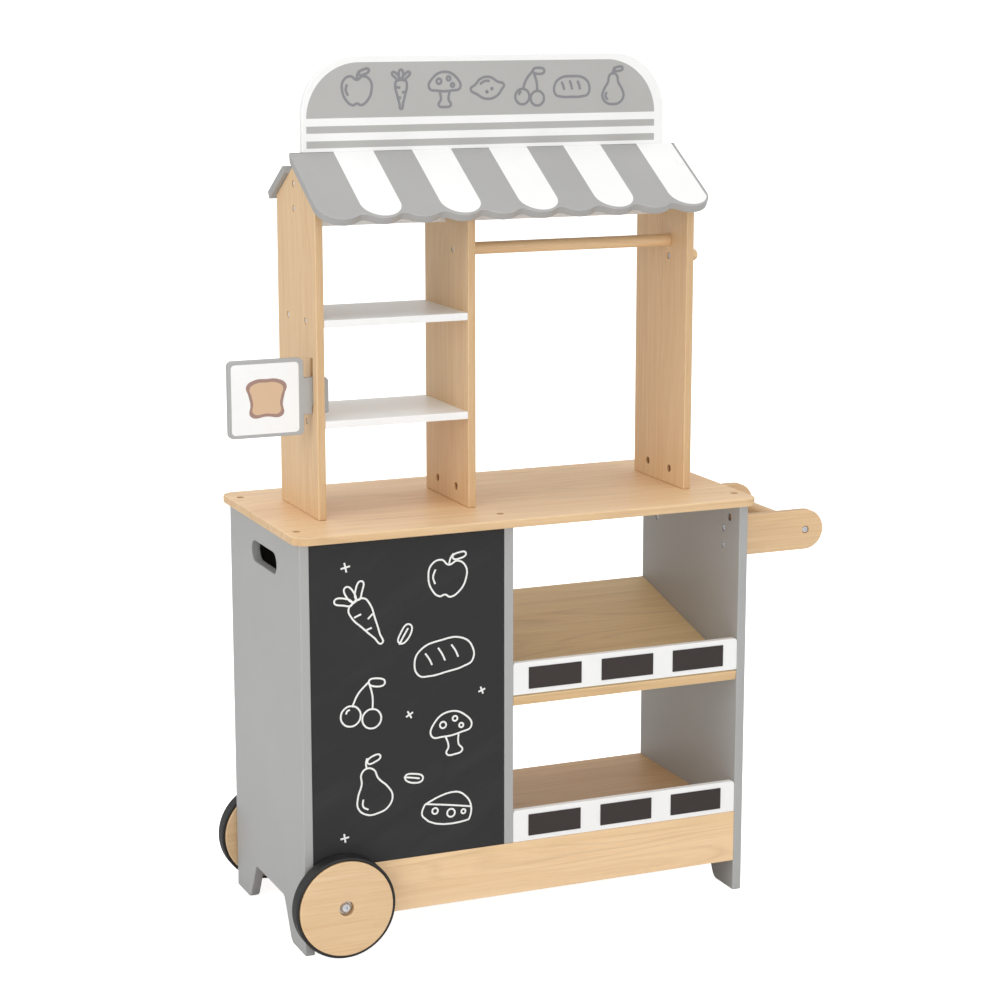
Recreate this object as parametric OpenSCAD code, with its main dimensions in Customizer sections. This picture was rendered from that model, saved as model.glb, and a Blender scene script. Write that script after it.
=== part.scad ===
// Toy market stall: a cabinet with a chalkboard front and display shelves, a counter,
// and a roofed tower with a header sign. It stands on four feet and two wheels.
// X runs from left to right, Y from front to back and Z up from the floor, in millimetres.

/* [Cabinet] */
// Width over the two side panels
cab_w = 584; // [500:1:680]
// Depth of the side panels from front to back
cab_d = 268; // [240:1:320]
// Height of the side panels
side_h = 500; // [450:1:560]
// Thickness of the side panels, divider, plinths and sloped shelf
panel_t = 12; // [10:0.5:16]
// Thickness of the chalkboard, rear panel and shelf fences
thin_t = 9; // [8:0.5:12]
// Height of the bottom board's upper face above the floor
floor_z = 105; // [98:1:125]
// Thickness of the bottom board
bottom_t = 10; // [9:0.5:14]
// Height of the front and rear plinths
plinth_h = 55; // [45:1:65]
// Distance from the left panel's outer face to the divider
divider_x = 256; // [200:1:300]

/* [Feet and hand hole] */
// Length of a foot on the floor
foot_l = 52; // [40:1:70]
// Height of the arch between two feet
arch_h = 50; // [30:1:60]
// Lean of the arch's sides from upright, in degrees
arch_lean = 28; // [10:1:35]
// Rounding of a foot at the floor
foot_r = 12; // [4:1:16]
// Rounding at the top of the arch
arch_r = 8; // [3:1:14]
// Length of the hand hole
hand_hole_l = 97; // [80:1:120]
// Height of the hand hole
hand_hole_h = 26; // [20:1:32]
// Distance from the top of the side panel to the middle of the hand hole
hand_hole_drop = 42; // [35:1:60]

/* [Display shelves] */
// Height of the sloped shelf's upper front corner above the floor
shelf_front_z = 288.5; // [260:0.5:320]
// Tilt of the sloped shelf, in degrees
shelf_tilt = 13.7; // [8:0.1:20]
// Height of a shelf fence
fence_h = 40; // [30:1:60]
// Length of a price label
label_l = 70; // [50:1:80]
// Height of a price label
label_h = 27; // [18:1:29]
// Thickness of a price label
label_t = 0.8; // [0.5:0.1:2]
// Price labels on each fence
label_count = 3; // [2:1:3]
// Distance from one price label to the next
label_pitch = 97; // [85:1:105]

/* [Counter] */
// Thickness of the countertop
counter_t = 10; // [9:0.5:15]
// Overhang of the countertop past each side panel
counter_side = 9; // [4:0.5:20]
// Overhang of the countertop at the front and at the back
counter_front = 12.5; // [6:0.5:22]
// Rounding of the countertop's corners in plan
counter_corner_r = 18; // [8:1:30]
// Rounding of the countertop's edges
counter_edge_r = 3; // [1:0.5:4]

/* [Tower] */
// Distance from the left panel's outer face to the left upright
tower_x = 49; // [35:1:60]
// Distance from the right upright to the right panel's outer face
tower_right = 44; // [35:1:60]
// Distance from the left upright's outer face to the middle upright
middle_offset = 190.5; // [160:0.5:220]
// Thickness of the uprights
upright_t = 10; // [9:0.5:14]
// Depth of the uprights from front to back
upright_d = 140; // [125:1:160]
// How far the tower's centre plane lies behind the cabinet's
tower_back = 7; // [0:1:15]
// Height of the gables' ridge above the counter
ridge_h = 414.5; // [400:0.5:460]
// Pitch of the roof, in degrees
roof_pitch = 31; // [24:1:36]
// Thickness of the tower shelves
tower_shelf_t = 9; // [8:0.5:12]
// Height of the lower tower shelf's upper face above the counter
lower_shelf_h = 118; // [100:1:150]
// Height of the upper tower shelf's upper face above the counter
upper_shelf_h = 237; // [225:1:260]

/* [Rail and peg] */
// Diameter of the hanging rail
rail_d = 15; // [12:0.5:20]
// Height of the rail's axis above the counter
rail_h = 308; // [290:1:320]
// How far the rail lies in front of the tower's centre plane
rail_front = 21; // [14:1:40]
// Diameter of the hanging peg
peg_d = 15; // [12:0.5:20]
// Length of the hanging peg
peg_l = 29; // [20:1:40]
// Distance from the rail's axis down to the peg's axis
peg_drop = 20; // [16:1:40]

/* [Header sign] */
// Height of the header sign
sign_h = 198; // [180:1:230]
// Thickness of the header sign
sign_t = 10; // [8:0.5:12]
// Height of the header sign's lower edge above the counter
sign_lift = 339; // [330:1:350]
// Rounding of the header sign's upper corners
sign_r = 68; // [30:1:80]

/* [Awnings] */
// How far both awnings reach past the outer uprights
awning_side = 6; // [2:0.5:10]
// Width of the front awning down the slope, scallops included
awning_l = 127; // [110:1:140]
// Thickness of both awnings
awning_t = 10; // [8:0.5:12]
// Scallops along the front awning
scallop_count = 10; // [6:1:14]
// Depth of the scallops
scallop_depth = 8.5; // [5:0.5:12]
// Rounding of the valleys between the scallops
valley_r = 11.5; // [6:0.5:14]
// Rounding of the front awning's lower corners
awning_corner_r = 29; // [20:1:36]
// Distance down the slope from the ridge to the rear awning
rear_awning_gap = 26; // [20:1:32]
// Width of the rear awning down the slope
rear_awning_l = 67; // [50:1:80]

/* [Flag sign] */
// Width of the flag sign's plate
flag_w = 92; // [70:1:110]
// Height of the flag sign's plate
flag_h = 91; // [70:1:95]
// Thickness of the flag sign
flag_t = 9; // [7:0.5:11]
// Rounding of the plate's corners
flag_r = 6; // [4:1:16]
// Height of the plate's middle above the counter
flag_mid_h = 147; // [140:1:160]
// How far the flag sign lies in front of the tower's centre plane
flag_front = 49.5; // [45:0.5:55]
// Length of the neck between the plate and the upright
neck_l = 10.5; // [8:0.5:16]
// Height of the neck
neck_h = 43; // [34:1:50]
// Reach of the tab inside the upright
tab_l = 10; // [8:0.5:14]
// Depth of the notch that hooks the neck over the slot's sill
notch_depth = 9; // [5:0.5:12]
// How far the flag sign lifts
flag_lift = 22; // [14:1:24]

/* [Wheels] */
// Outer diameter of a wheel with its tyre
wheel_d = 124; // [110:1:140]
// Width of a wheel
wheel_t = 22; // [18:1:28]
// Radial thickness of a tyre
tyre_t = 4; // [3:0.5:6]
// Distance from the left panel's outer face to the axles
wheel_x = 44; // [40:1:60]
// Gap between a wheel and its plinth
wheel_gap = 3; // [2:0.5:6]
// Diameter of an axle bolt
axle_d = 8; // [6:0.5:10]
// Diameter of the recess in a wheel's hub
hub_d = 18; // [17:0.5:26]
// Depth of the recess in a wheel's hub
hub_depth = 9; // [7:0.5:11]

/* [Handle] */
// Reach of the handle arms from the right side panel
arm_reach = 128; // [100:1:150]
// Height of the handle arms
arm_h = 51; // [40:1:60]
// Thickness of the handle arms
arm_t = 12; // [10:0.5:16]
// Distance from the panel's front and back edges to the arms
arm_inset = 36; // [34:1:60]
// Distance from the top of the side panel to the middle of the arms
arm_drop = 47.5; // [40:0.5:60]
// Diameter of the handle's crossbar
bar_d = 18; // [14:0.5:24]

/* [Hidden] */
$fn = 48;
// Straight steps in each rounded corner of an outline
arc_steps = 8;
// Running gap beside a piece that moves
run_gap = 0.4;
// Gap around a screw, bolt, nut or dowel in its hole
fit = 0.1;
// How far a cut runs past the face that it opens
overrun = 1;
// Easing of the edges of round wooden pieces
round_edge = 2;

// Bolts, barrel nuts, screws and dowels
bolt_d = 5;
bolt_head_d = 9;
bolt_head_h = 2.5;
// How far a bolt reaches past its barrel nut
bolt_tip = 2;
nut_d = 9.5;
// Board left closed behind a barrel nut
nut_wall = 1.8;
// How far a barrel nut lies below its board's face
nut_sink = 2;
nut_drop = 20;
screw_d = 3.5;
screw_head_d = 8;
screw_head_h = 2;
screw_l = 30;
// How far a head lies below its board's face, measured to its seat
head_sink = 2.8;
// Gap around a sunk head in its hole
head_gap = 0.5;
// The sides of a flush head stand at a right angle to each other
countersink_h = (screw_head_d - screw_d) / 2;
dowel_d = 6;
dowel_l = 16;
socket_share = 0.45;
head_crown_share = 0.7;
head_rim_share = 0.5;

// Places of the fasteners
counter_bolt_inset = 26;
counter_recess = 5;
upright_bolt_pitch = 60;
shelf_screw_pitch = 64;
sign_screw_rise = 22;
sign_screw_pitch = 29;
arm_screw_pitch = 22;
awning_screw_down = 38;
dowel_shares = [0.2, 0.8];
plinth_dowel_shares = [0.25, 0.75];

// Axle stack
washer_d = 16;
washer_t = 1.5;
axle_head_d = 13;
axle_head_h = 4;
spacer_d = 20;
lock_nut_d = 13;
lock_nut_h = 6;
axle_tip = 3;

// Levels and planes that several pieces share
inner_right = cab_w - panel_t;
bay_left = divider_x + panel_t;
bay_w = inner_right - bay_left;
bay_mid = (bay_left + inner_right) / 2;
plinth_z = floor_z - bottom_t - plinth_h;
counter_z = side_h + counter_t;
hand_hole_z = side_h - hand_hole_drop;
upper_fence_z = shelf_front_z + thin_t * tan(shelf_tilt);
tower_y = cab_d / 2 + tower_back;
tower_w = cab_w - tower_x - tower_right;
middle_x = tower_x + middle_offset;
right_x = tower_x + tower_w - upright_t;
upright_xs = [tower_x, middle_x, right_x];
tower_front = tower_y - upright_d / 2;
ridge_z = counter_z + ridge_h;
eave_z = ridge_z - upright_d / 2 * tan(roof_pitch);
rail_y = tower_y - rail_front;
rail_z = counter_z + rail_h;
peg_z = rail_z - peg_drop;
sign_x = tower_x + upright_t;
sign_w = right_x - sign_x;
sign_z = counter_z + sign_lift;
awning_w = tower_w + 2 * awning_side;
awning_x = tower_x - awning_side;
ridge_cut = awning_t * tan(roof_pitch);
scallop_l = (awning_w - 2 * awning_corner_r) / (scallop_count - 1);
// Turn of a scallop's edge up to where it runs into a valley, in degrees
scallop_turn = 2 * atan(2 * scallop_depth / scallop_l);
scallop_r = scallop_l / 2 / sin(scallop_turn) - valley_r;
flag_y = tower_y - flag_front;
flag_z = counter_z + flag_mid_h;
flag_x = tower_x - neck_l - flag_w;
neck_z = flag_z - neck_h / 2;
sill_z = neck_z + notch_depth - run_gap;
slot_top = neck_z + neck_h + flag_lift + run_gap;
wheel_r = wheel_d / 2;
disc_r = wheel_r - tyre_t;
arm_z = side_h - arm_drop;
bar_x = cab_w + arm_reach - arm_h / 2;
lower_shelf_z = counter_z + lower_shelf_h - tower_shelf_t;
upper_shelf_z = counter_z + upper_shelf_h - tower_shelf_t;
left_end = min(flag_x, wheel_x - wheel_r, -counter_side);
right_end = cab_w + max(arm_reach, counter_side);
centre_x = (left_end + right_end) / 2;
centre_y = cab_d / 2;

// Outlines

function unit(v) = v / norm(v);

// Points on the short arc about a centre, from one point to another
function arc(centre, from, to) =
    let (
        a = atan2(from.y - centre.y, from.x - centre.x),
        b = atan2(to.y - centre.y, to.x - centre.x),
        turn = (b - a + 540) % 360 - 180,
        r = norm(from - centre)
    )
    [for (i = [0 : arc_steps])
        centre + r * [cos(a + turn * i / arc_steps), sin(a + turn * i / arc_steps)]];

// A corner rounded to radius r, between the points before and after it
function fillet(before, corner, after, r) =
    let (
        u = unit(before - corner),
        v = unit(after - corner),
        half = acos(u * v) / 2,
        reach = r / tan(half),
        centre = corner + unit(u + v) * r / sin(half)
    )
    arc(centre, corner + u * reach, corner + v * reach);

function flat(p) = [p.x, p.y];

// An outline from corners given as [x, y] or, to be rounded, as [x, y, radius]
function outline(corners) =
    let (n = len(corners))
    [for (i = [0 : n - 1])
        each len(corners[i]) == 2
            ? [corners[i]]
            : fillet(flat(corners[(i + n - 1) % n]), flat(corners[i]),
                     flat(corners[(i + 1) % n]), corners[i].z)];

function rounded_rect(w, h, r) = outline([[0, 0, r], [w, 0, r], [w, h, r], [0, h, r]]);

// A slot with full round ends, about its middle
function stadium(l, h) =
    let (c = (l - h) / 2)
    concat(
        arc([c, 0], [c, -h / 2], [c + h / 2, 0]), arc([c, 0], [c + h / 2, 0], [c, h / 2]),
        arc([-c, 0], [-c, h / 2], [-c - h / 2, 0]), arc([-c, 0], [-c - h / 2, 0], [-c, -h / 2])
    );

// Placing

// Moves the stall so that its box stands centred on the origin
module place() {
    translate([-centre_x, -centre_y, 0]) children();
}

// Repeats a front piece at the back
module rear_twin() {
    translate([0, cab_d, 0]) mirror([0, 1, 0]) children();
}

// A side view in Y and Z, given thickness towards +X
module along_x(t) {
    rotate([90, 0, 90]) linear_extrude(t) children();
}

// A front view in X and Z, given thickness towards +Y
module along_y(t) {
    translate([0, t, 0]) rotate([90, 0, 0]) linear_extrude(t) children();
}

// The plane of the front roof slope: Y climbs to the ridge and Z points out of the roof
module on_front_slope() {
    translate([0, tower_y, ridge_z]) rotate([roof_pitch, 0, 0]) children();
}

module on_rear_slope() {
    translate([0, tower_y, 0]) mirror([0, 1, 0]) translate([0, -tower_y, 0])
        on_front_slope() children();
}

module facing_left() {
    rotate([0, -90, 0]) children();
}

module facing_right() {
    rotate([0, 90, 0]) children();
}

module facing_front() {
    rotate([90, 0, 0]) children();
}

module facing_down() {
    rotate([180, 0, 0]) children();
}

// Fasteners, each with its head above Z = 0 and its shank below

// A button head with a hexagon socket
module button_head(d, h) {
    difference() {
        union() {
            cylinder(d = d, h = h * head_rim_share);
            translate([0, 0, h * head_rim_share])
                cylinder(d1 = d, d2 = d * head_crown_share, h = h * (1 - head_rim_share));
        }
        translate([0, 0, h * (1 - head_crown_share)])
            cylinder(d = d * socket_share, h = h, $fn = 6);
    }
}

module shank(d, l) {
    translate([0, 0, -l]) cylinder(d = d, h = l);
}

module bolt(l) {
    button_head(bolt_head_d, bolt_head_h);
    shank(bolt_d, l);
}

module screw() {
    button_head(screw_head_d, screw_head_h);
    shank(screw_d, screw_l);
}

// A screw whose head lies flush in its board
module flush_screw() {
    translate([0, 0, -countersink_h]) cylinder(d1 = screw_d, d2 = screw_head_d, h = countersink_h);
    shank(screw_d, screw_l);
}

module bore(d, l) {
    translate([0, 0, -l - fit]) cylinder(d = d + 2 * fit, h = l + fit + overrun);
}

module screw_bore() {
    bore(screw_d, screw_l);
}

// Lowers a screw or bolt until its head seats in the hole sunk for it
module sunk() {
    translate([0, 0, -head_sink]) children();
}

module head_bore(d) {
    sunk() cylinder(d = d + 2 * head_gap, h = head_sink + overrun);
}

module sunk_screw_bore() {
    sunk() screw_bore();
    head_bore(screw_head_d);
}

module bar_bolt_bore() {
    sunk() bore(bolt_d, bar_bolt_l);
    head_bore(bolt_head_d);
}

// Places of the fasteners

module counter_bolt_places() {
    for (x = [panel_t / 2, divider_x + panel_t / 2, cab_w - panel_t / 2])
        for (y = [counter_bolt_inset, cab_d - counter_bolt_inset])
            translate([x, y, counter_z - counter_recess]) children();
}

counter_bolt_l = counter_t - counter_recess + nut_drop + nut_d / 2 + bolt_tip;

module counter_bolt_bores() {
    counter_bolt_places() bore(bolt_d, counter_bolt_l);
}

// Barrel nuts of the counter lie across the side panels and the divider, open to the inside
module counter_nut_places() {
    for (y = [counter_bolt_inset, cab_d - counter_bolt_inset])
        translate([0, y, side_h - nut_drop]) {
            for (x = [panel_t, divider_x + panel_t])
                translate([x, 0, 0]) facing_right() children();
            translate([inner_right, 0, 0]) facing_left() children();
        }
}

module counter_nut_bores() {
    counter_nut_places() bore(nut_d, panel_t - nut_wall);
}

module upright_bolt_places() {
    for (x = upright_xs)
        for (side = [-1, 1])
            translate([x + upright_t / 2, tower_y + side * upright_bolt_pitch / 2, side_h])
                facing_down() children();
}

upright_bolt_l = counter_t + nut_drop + nut_d / 2 + bolt_tip;

module upright_bolt_bores() {
    upright_bolt_places() bore(bolt_d, upright_bolt_l);
}

// Barrel nuts of the uprights open towards the tower shelves, and on the right upright to the left
module upright_nut_places() {
    for (side = [-1, 1])
        translate([0, tower_y + side * upright_bolt_pitch / 2, counter_z + nut_drop]) {
            translate([tower_x + upright_t, 0, 0]) facing_right() children();
            for (x = [middle_x, right_x])
                translate([x, 0, 0]) facing_left() children();
        }
}

module upright_nut_bores() {
    upright_nut_places() bore(nut_d, upright_t - nut_wall);
}

module shelf_screw_places() {
    for (z = [lower_shelf_z, upper_shelf_z])
        for (side = [-1, 1])
            translate([0, tower_y + side * shelf_screw_pitch / 2, z + tower_shelf_t / 2]) {
                translate([tower_x, 0, 0]) facing_left() children();
                translate([middle_x + upright_t, 0, 0]) facing_right() children();
            }
}

module sign_screw_places() {
    for (z = [sign_screw_rise, sign_screw_rise + sign_screw_pitch])
        translate([0, tower_y + sign_t / 2, sign_z + z]) {
            translate([tower_x, 0, 0]) facing_left() children();
            translate([right_x + upright_t, 0, 0]) facing_right() children();
        }
}

module rail_screw_places() {
    translate([middle_x, rail_y, rail_z]) facing_left() children();
    translate([right_x + upright_t, rail_y, rail_z]) facing_right() children();
}

module peg_screw_place() {
    translate([right_x, rail_y, peg_z]) facing_left() children();
}

module front_awning_screw_places() {
    for (x = upright_xs)
        on_front_slope() translate([x + upright_t / 2, -awning_screw_down, awning_t]) children();
}

module rear_awning_screw_places() {
    for (x = upright_xs)
        on_rear_slope()
            translate([x + upright_t / 2, -rear_awning_gap - rear_awning_l / 2, awning_t]) children();
}

module arm_screw_places() {
    for (y = [arm_inset + arm_t / 2, cab_d - arm_inset - arm_t / 2])
        for (side = [-1, 1])
            translate([inner_right, y, arm_z + side * arm_screw_pitch / 2]) facing_left() children();
}

module bar_bolt_places() {
    front_bar_bolt_place() children();
    rear_twin() front_bar_bolt_place() children();
}

module front_bar_bolt_place() {
    translate([bar_x, arm_inset, arm_z]) facing_front() children();
}

bar_bolt_l = 2 * arm_t;

// Dowels reach half their length into each of the two boards that they join
module dowel_rods(grow) {
    dowel_x_places() facing_right() cylinder(d = dowel_d + 2 * grow, h = dowel_l + 2 * grow, center = true);
    for (s = dowel_shares)
        translate([divider_x + panel_t / 2, s * cab_d, floor_z])
            cylinder(d = dowel_d + 2 * grow, h = dowel_l + 2 * grow, center = true);
}

module dowel_x_places() {
    for (x = [panel_t, inner_right]) {
        for (y = [panel_t / 2, cab_d - panel_t / 2], s = plinth_dowel_shares)
            translate([x, y, plinth_z + s * plinth_h]) children();
        for (s = dowel_shares)
            translate([x, s * cab_d, floor_z - bottom_t / 2]) children();
    }
    for (x = [panel_t, divider_x], y = [thin_t / 2, cab_d - thin_t / 2], s = dowel_shares)
        translate([x, y, floor_z + s * (side_h - floor_z)]) children();
    for (x = [bay_left, inner_right], s = dowel_shares)
        translate([x, 0, shelf_front_z]) rotate([shelf_tilt, 0, 0])
            translate([0, s * sloped_shelf_l, -panel_t / 2]) children();
}

// Cabinet

module side_outline() {
    lean = arch_h * tan(arch_lean);
    polygon(outline([
        [0, 0], [foot_l, 0, foot_r], [foot_l + lean, arch_h, arch_r],
        [cab_d - foot_l - lean, arch_h, arch_r], [cab_d - foot_l, 0, foot_r], [cab_d, 0],
        [cab_d, side_h], [0, side_h]
    ]));
}

module left_side_panel() {
    color("darkgray") place() difference() {
        along_x(panel_t) difference() {
            side_outline();
            translate([cab_d / 2, hand_hole_z]) polygon(stadium(hand_hole_l, hand_hole_h));
        }
        dowel_rods(fit);
        counter_bolt_bores();
        counter_nut_bores();
    }
}

module right_side_panel() {
    color("darkgray") place() difference() {
        translate([inner_right, 0, 0]) along_x(panel_t) side_outline();
        dowel_rods(fit);
        counter_bolt_bores();
        counter_nut_bores();
        arm_screw_places() sunk_screw_bore();
    }
}

module centre_divider() {
    color("darkgray") place() difference() {
        translate([divider_x, 0, floor_z]) cube([panel_t, cab_d, side_h - floor_z]);
        dowel_rods(fit);
        counter_bolt_bores();
        counter_nut_bores();
    }
}

// A plate with corners rounded in plan and edges rounded in section
module soft_plate(w, d, t, r, e) {
    translate([0, r, 0]) along_y(d - 2 * r) polygon(rounded_rect(w, t, e));
    translate([r, 0, 0]) along_x(w - 2 * r) polygon(rounded_rect(d, t, e));
    for (x = [r, w - r], y = [r, d - r])
        translate([x, y, 0]) rotate_extrude() polygon(outline([[0, 0], [r, 0, e], [r, t, e], [0, t]]));
}

module countertop() {
    color("burlywood") place() difference() {
        translate([-counter_side, -counter_front, side_h])
            soft_plate(cab_w + 2 * counter_side, cab_d + 2 * counter_front, counter_t,
                       counter_corner_r, counter_edge_r);
        counter_bolt_bores();
        counter_bolt_places() cylinder(d = bolt_head_d + 2 * fit, h = counter_recess + overrun);
        upright_bolt_bores();
    }
}

module bay_board() {
    translate([panel_t, 0, floor_z]) cube([divider_x - panel_t, thin_t, side_h - floor_z]);
}

module chalkboard_panel() {
    color("dimgray") place() difference() {
        bay_board();
        dowel_rods(fit);
    }
}

module rear_panel() {
    color("darkgray") place() difference() {
        rear_twin() bay_board();
        dowel_rods(fit);
    }
}

module plinth_board() {
    difference() {
        translate([panel_t, 0, plinth_z]) cube([inner_right - panel_t, panel_t, plinth_h]);
        axle_place() bore(axle_d, axle_l);
    }
}

module front_plinth() {
    color("burlywood") place() difference() {
        plinth_board();
        dowel_rods(fit);
    }
}

module rear_plinth() {
    color("burlywood") place() difference() {
        rear_twin() plinth_board();
        dowel_rods(fit);
    }
}

module bottom_board() {
    color("burlywood") place() difference() {
        translate([panel_t, 0, floor_z - bottom_t]) cube([inner_right - panel_t, cab_d, bottom_t]);
        dowel_rods(fit);
    }
}

// Display shelves

// The square-cut board ends where its lower back corner meets the back of the cabinet
sloped_shelf_l = (cab_d - panel_t * sin(shelf_tilt)) / cos(shelf_tilt);

module sloped_shelf() {
    color("burlywood") place() difference() {
        translate([bay_left, 0, shelf_front_z]) rotate([shelf_tilt, 0, 0])
            translate([0, 0, -panel_t]) cube([bay_w, sloped_shelf_l, panel_t]);
        dowel_rods(fit);
    }
}

module fence(z) {
    translate([bay_left, 0, z]) cube([bay_w, thin_t, fence_h]);
}

module upper_fence() {
    color("white") place() fence(upper_fence_z);
}

module lower_fence() {
    color("white") place() fence(floor_z);
}

module labels(z) {
    for (i = [0 : label_count - 1])
        translate([bay_mid + (i - (label_count - 1) / 2) * label_pitch - label_l / 2, -label_t, z])
            translate([0, 0, (fence_h - label_h) / 2]) cube([label_l, label_t, label_h]);
}

module upper_price_labels() {
    color("dimgray") place() labels(upper_fence_z);
}

module lower_price_labels() {
    color("dimgray") place() labels(floor_z);
}

// Tower

module gable_outline() {
    polygon([
        [tower_front, counter_z], [tower_front + upright_d, counter_z],
        [tower_front + upright_d, eave_z], [tower_y, ridge_z], [tower_front, eave_z]
    ]);
}

// Takes the holes of every fastener out of an upright
module drilled() {
    difference() {
        children();
        upright_bolt_bores();
        upright_nut_bores();
        shelf_screw_places() sunk_screw_bore();
        sign_screw_places() sunk_screw_bore();
        rail_screw_places() sunk_screw_bore();
        peg_screw_place() sunk_screw_bore();
        front_awning_screw_places() screw_bore();
        rear_awning_screw_places() screw_bore();
    }
}

module left_upright() {
    color("wheat") place() drilled() translate([tower_x, 0, 0]) along_x(upright_t) difference() {
        gable_outline();
        translate([flag_y - flag_t / 2 - run_gap, sill_z])
            square([flag_t + 2 * run_gap, slot_top - sill_z]);
    }
}

module middle_upright() {
    color("wheat") place() drilled() translate([middle_x, 0, 0]) along_x(upright_t) difference() {
        gable_outline();
        translate([tower_y, sign_z]) square([sign_t + fit, ridge_z - sign_z + overrun]);
    }
}

module right_upright() {
    color("wheat") place() drilled() translate([right_x, 0, 0]) along_x(upright_t) gable_outline();
}

module tower_shelf(z) {
    difference() {
        translate([sign_x, tower_front, z]) cube([middle_x - sign_x, upright_d, tower_shelf_t]);
        shelf_screw_places() sunk_screw_bore();
    }
}

module upper_tower_shelf() {
    color("white") place() tower_shelf(upper_shelf_z);
}

module lower_tower_shelf() {
    color("white") place() tower_shelf(lower_shelf_z);
}

module hanging_rail() {
    color("burlywood") place() difference() {
        translate([middle_x + upright_t, rail_y, rail_z])
            facing_right() cylinder(d = rail_d, h = right_x - middle_x - upright_t);
        rail_screw_places() sunk_screw_bore();
    }
}

module hanging_peg() {
    color("burlywood") place() difference() {
        translate([right_x + upright_t, rail_y, peg_z]) facing_right() rotate_extrude()
            polygon(outline([[0, 0], [peg_d / 2, 0], [peg_d / 2, peg_l, round_edge], [0, peg_l]]));
        peg_screw_place() sunk_screw_bore();
    }
}

module header_sign() {
    color("white") place() difference() {
        translate([sign_x, tower_y, sign_z]) along_y(sign_t)
            polygon(outline([[0, 0], [sign_w, 0], [sign_w, sign_h, sign_r], [0, sign_h, sign_r]]));
        sign_screw_places() sunk_screw_bore();
    }
}

// Awnings

// A row of points without its last, which is the first of the next row
function without_last(points) = [for (i = [0 : len(points) - 2]) points[i]];

// From the lowest point of one scallop through a valley to the lowest point of the next
function scallop_wave(i) =
    let (
        x = awning_corner_r + i * scallop_l,
        flank = scallop_r * [sin(scallop_turn), 1 - cos(scallop_turn)],
        left = [x + flank.x, flank.y],
        right = [x + scallop_l - flank.x, flank.y]
    )
    concat(
        without_last(arc([x, scallop_r], [x, 0], left)),
        without_last(arc([x + scallop_l / 2, scallop_depth - valley_r], left, right)),
        without_last(arc([x + scallop_l, scallop_r], right, [x + scallop_l, 0]))
    );

// The lower edge of the front awning, from corner to corner
function scalloped_edge() =
    let (r = awning_corner_r)
    concat(
        without_last(arc([r, r], [0, r], [r, 0])),
        [for (i = [0 : scallop_count - 2]) each scallop_wave(i)],
        arc([awning_w - r, r], [awning_w - r, 0], [awning_w, r])
    );

// The upper edge is cut upright and lies against the header sign
module front_awning() {
    color("lightgray") place() difference() {
        on_front_slope() translate([awning_x, -awning_l, 0]) linear_extrude(awning_t)
            polygon(concat(scalloped_edge(), [[awning_w, awning_l + ridge_cut], [0, awning_l + ridge_cut]]));
        translate([awning_x - overrun, tower_y, ridge_z - overrun])
            cube([awning_w + 2 * overrun, 2 * ridge_cut, 2 * awning_t]);
        front_awning_screw_places() screw_hole_flush();
    }
}

// A hole whose cone holds a flush head, carried on past the board's face
module screw_hole_flush() {
    cone_d = screw_d + 2 * fit;
    cone_h = countersink_h + overrun;
    screw_bore();
    translate([0, 0, -countersink_h]) cylinder(d1 = cone_d, d2 = cone_d + 2 * cone_h, h = cone_h);
}

module rear_awning() {
    color("darkgray") place() difference() {
        on_rear_slope() translate([awning_x, -rear_awning_gap - rear_awning_l, 0])
            cube([awning_w, rear_awning_l, awning_t]);
        rear_awning_screw_places() screw_hole_flush();
    }
}

// Flag sign: a plate, a neck through the slot and a tab inside, with a notch over the sill

module flag_sign() {
    slot_l = upright_t + 2 * run_gap;
    tab_end = flag_w + neck_l + upright_t + tab_l;
    color("darkgray") place() translate([flag_x, flag_y - flag_t / 2, flag_z - flag_h / 2]) along_y(flag_t)
        difference() {
            union() {
                polygon(rounded_rect(flag_w, flag_h, flag_r));
                polygon(outline([
                    [flag_w / 2, (flag_h - neck_h) / 2], [tab_end, (flag_h - neck_h) / 2, round_edge],
                    [tab_end, (flag_h + neck_h) / 2, flag_r], [flag_w / 2, (flag_h + neck_h) / 2]
                ]));
            }
            translate([flag_w + neck_l - run_gap, (flag_h - neck_h) / 2 - overrun])
                square([slot_l, notch_depth + overrun]);
        }
}

// Wheels

// An axle from its plinth's front face: Z points out of the front
module axle_place() {
    translate([wheel_x, 0, wheel_r]) facing_front() children();
}

// Height above the plinth of the seat where the washer meets the recess in the hub
hub_seat = wheel_gap + wheel_t - hub_depth + run_gap;
axle_l = panel_t + lock_nut_h + axle_tip;

module wheel_disc() {
    axle_place() translate([0, 0, wheel_gap]) difference() {
        rotate_extrude() polygon(outline([
            [0, 0], [disc_r, 0, round_edge], [disc_r, wheel_t, round_edge], [0, wheel_t]
        ]));
        translate([0, 0, -overrun]) cylinder(d = axle_d + 2 * run_gap, h = wheel_t + 2 * overrun);
        translate([0, 0, wheel_t - hub_depth]) cylinder(d = hub_d, h = hub_depth + overrun);
    }
}

// A band with a crowned tread, stretched over the disc
module tyre() {
    axle_place() translate([0, 0, wheel_gap]) rotate_extrude() polygon(outline([
        [disc_r, round_edge], [wheel_r, round_edge, tyre_t / 2],
        [wheel_r, wheel_t - round_edge, tyre_t / 2], [disc_r, wheel_t - round_edge]
    ]));
}

module axle_bolt() {
    axle_place() {
        translate([0, 0, hub_seat + washer_t]) button_head(axle_head_d, axle_head_h);
        translate([0, 0, hub_seat + washer_t]) shank(axle_d, hub_seat + washer_t + axle_l);
    }
}

module washer(d, t) {
    difference() {
        cylinder(d = d, h = t);
        translate([0, 0, -overrun]) cylinder(d = axle_d + 2 * fit, h = t + 2 * overrun);
    }
}

// The outer washer lies under the bolt's head, and the spacer between wheel and plinth
module axle_washers() {
    axle_place() {
        translate([0, 0, hub_seat]) washer(washer_d, washer_t);
        washer(spacer_d, wheel_gap - run_gap);
    }
}

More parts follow.
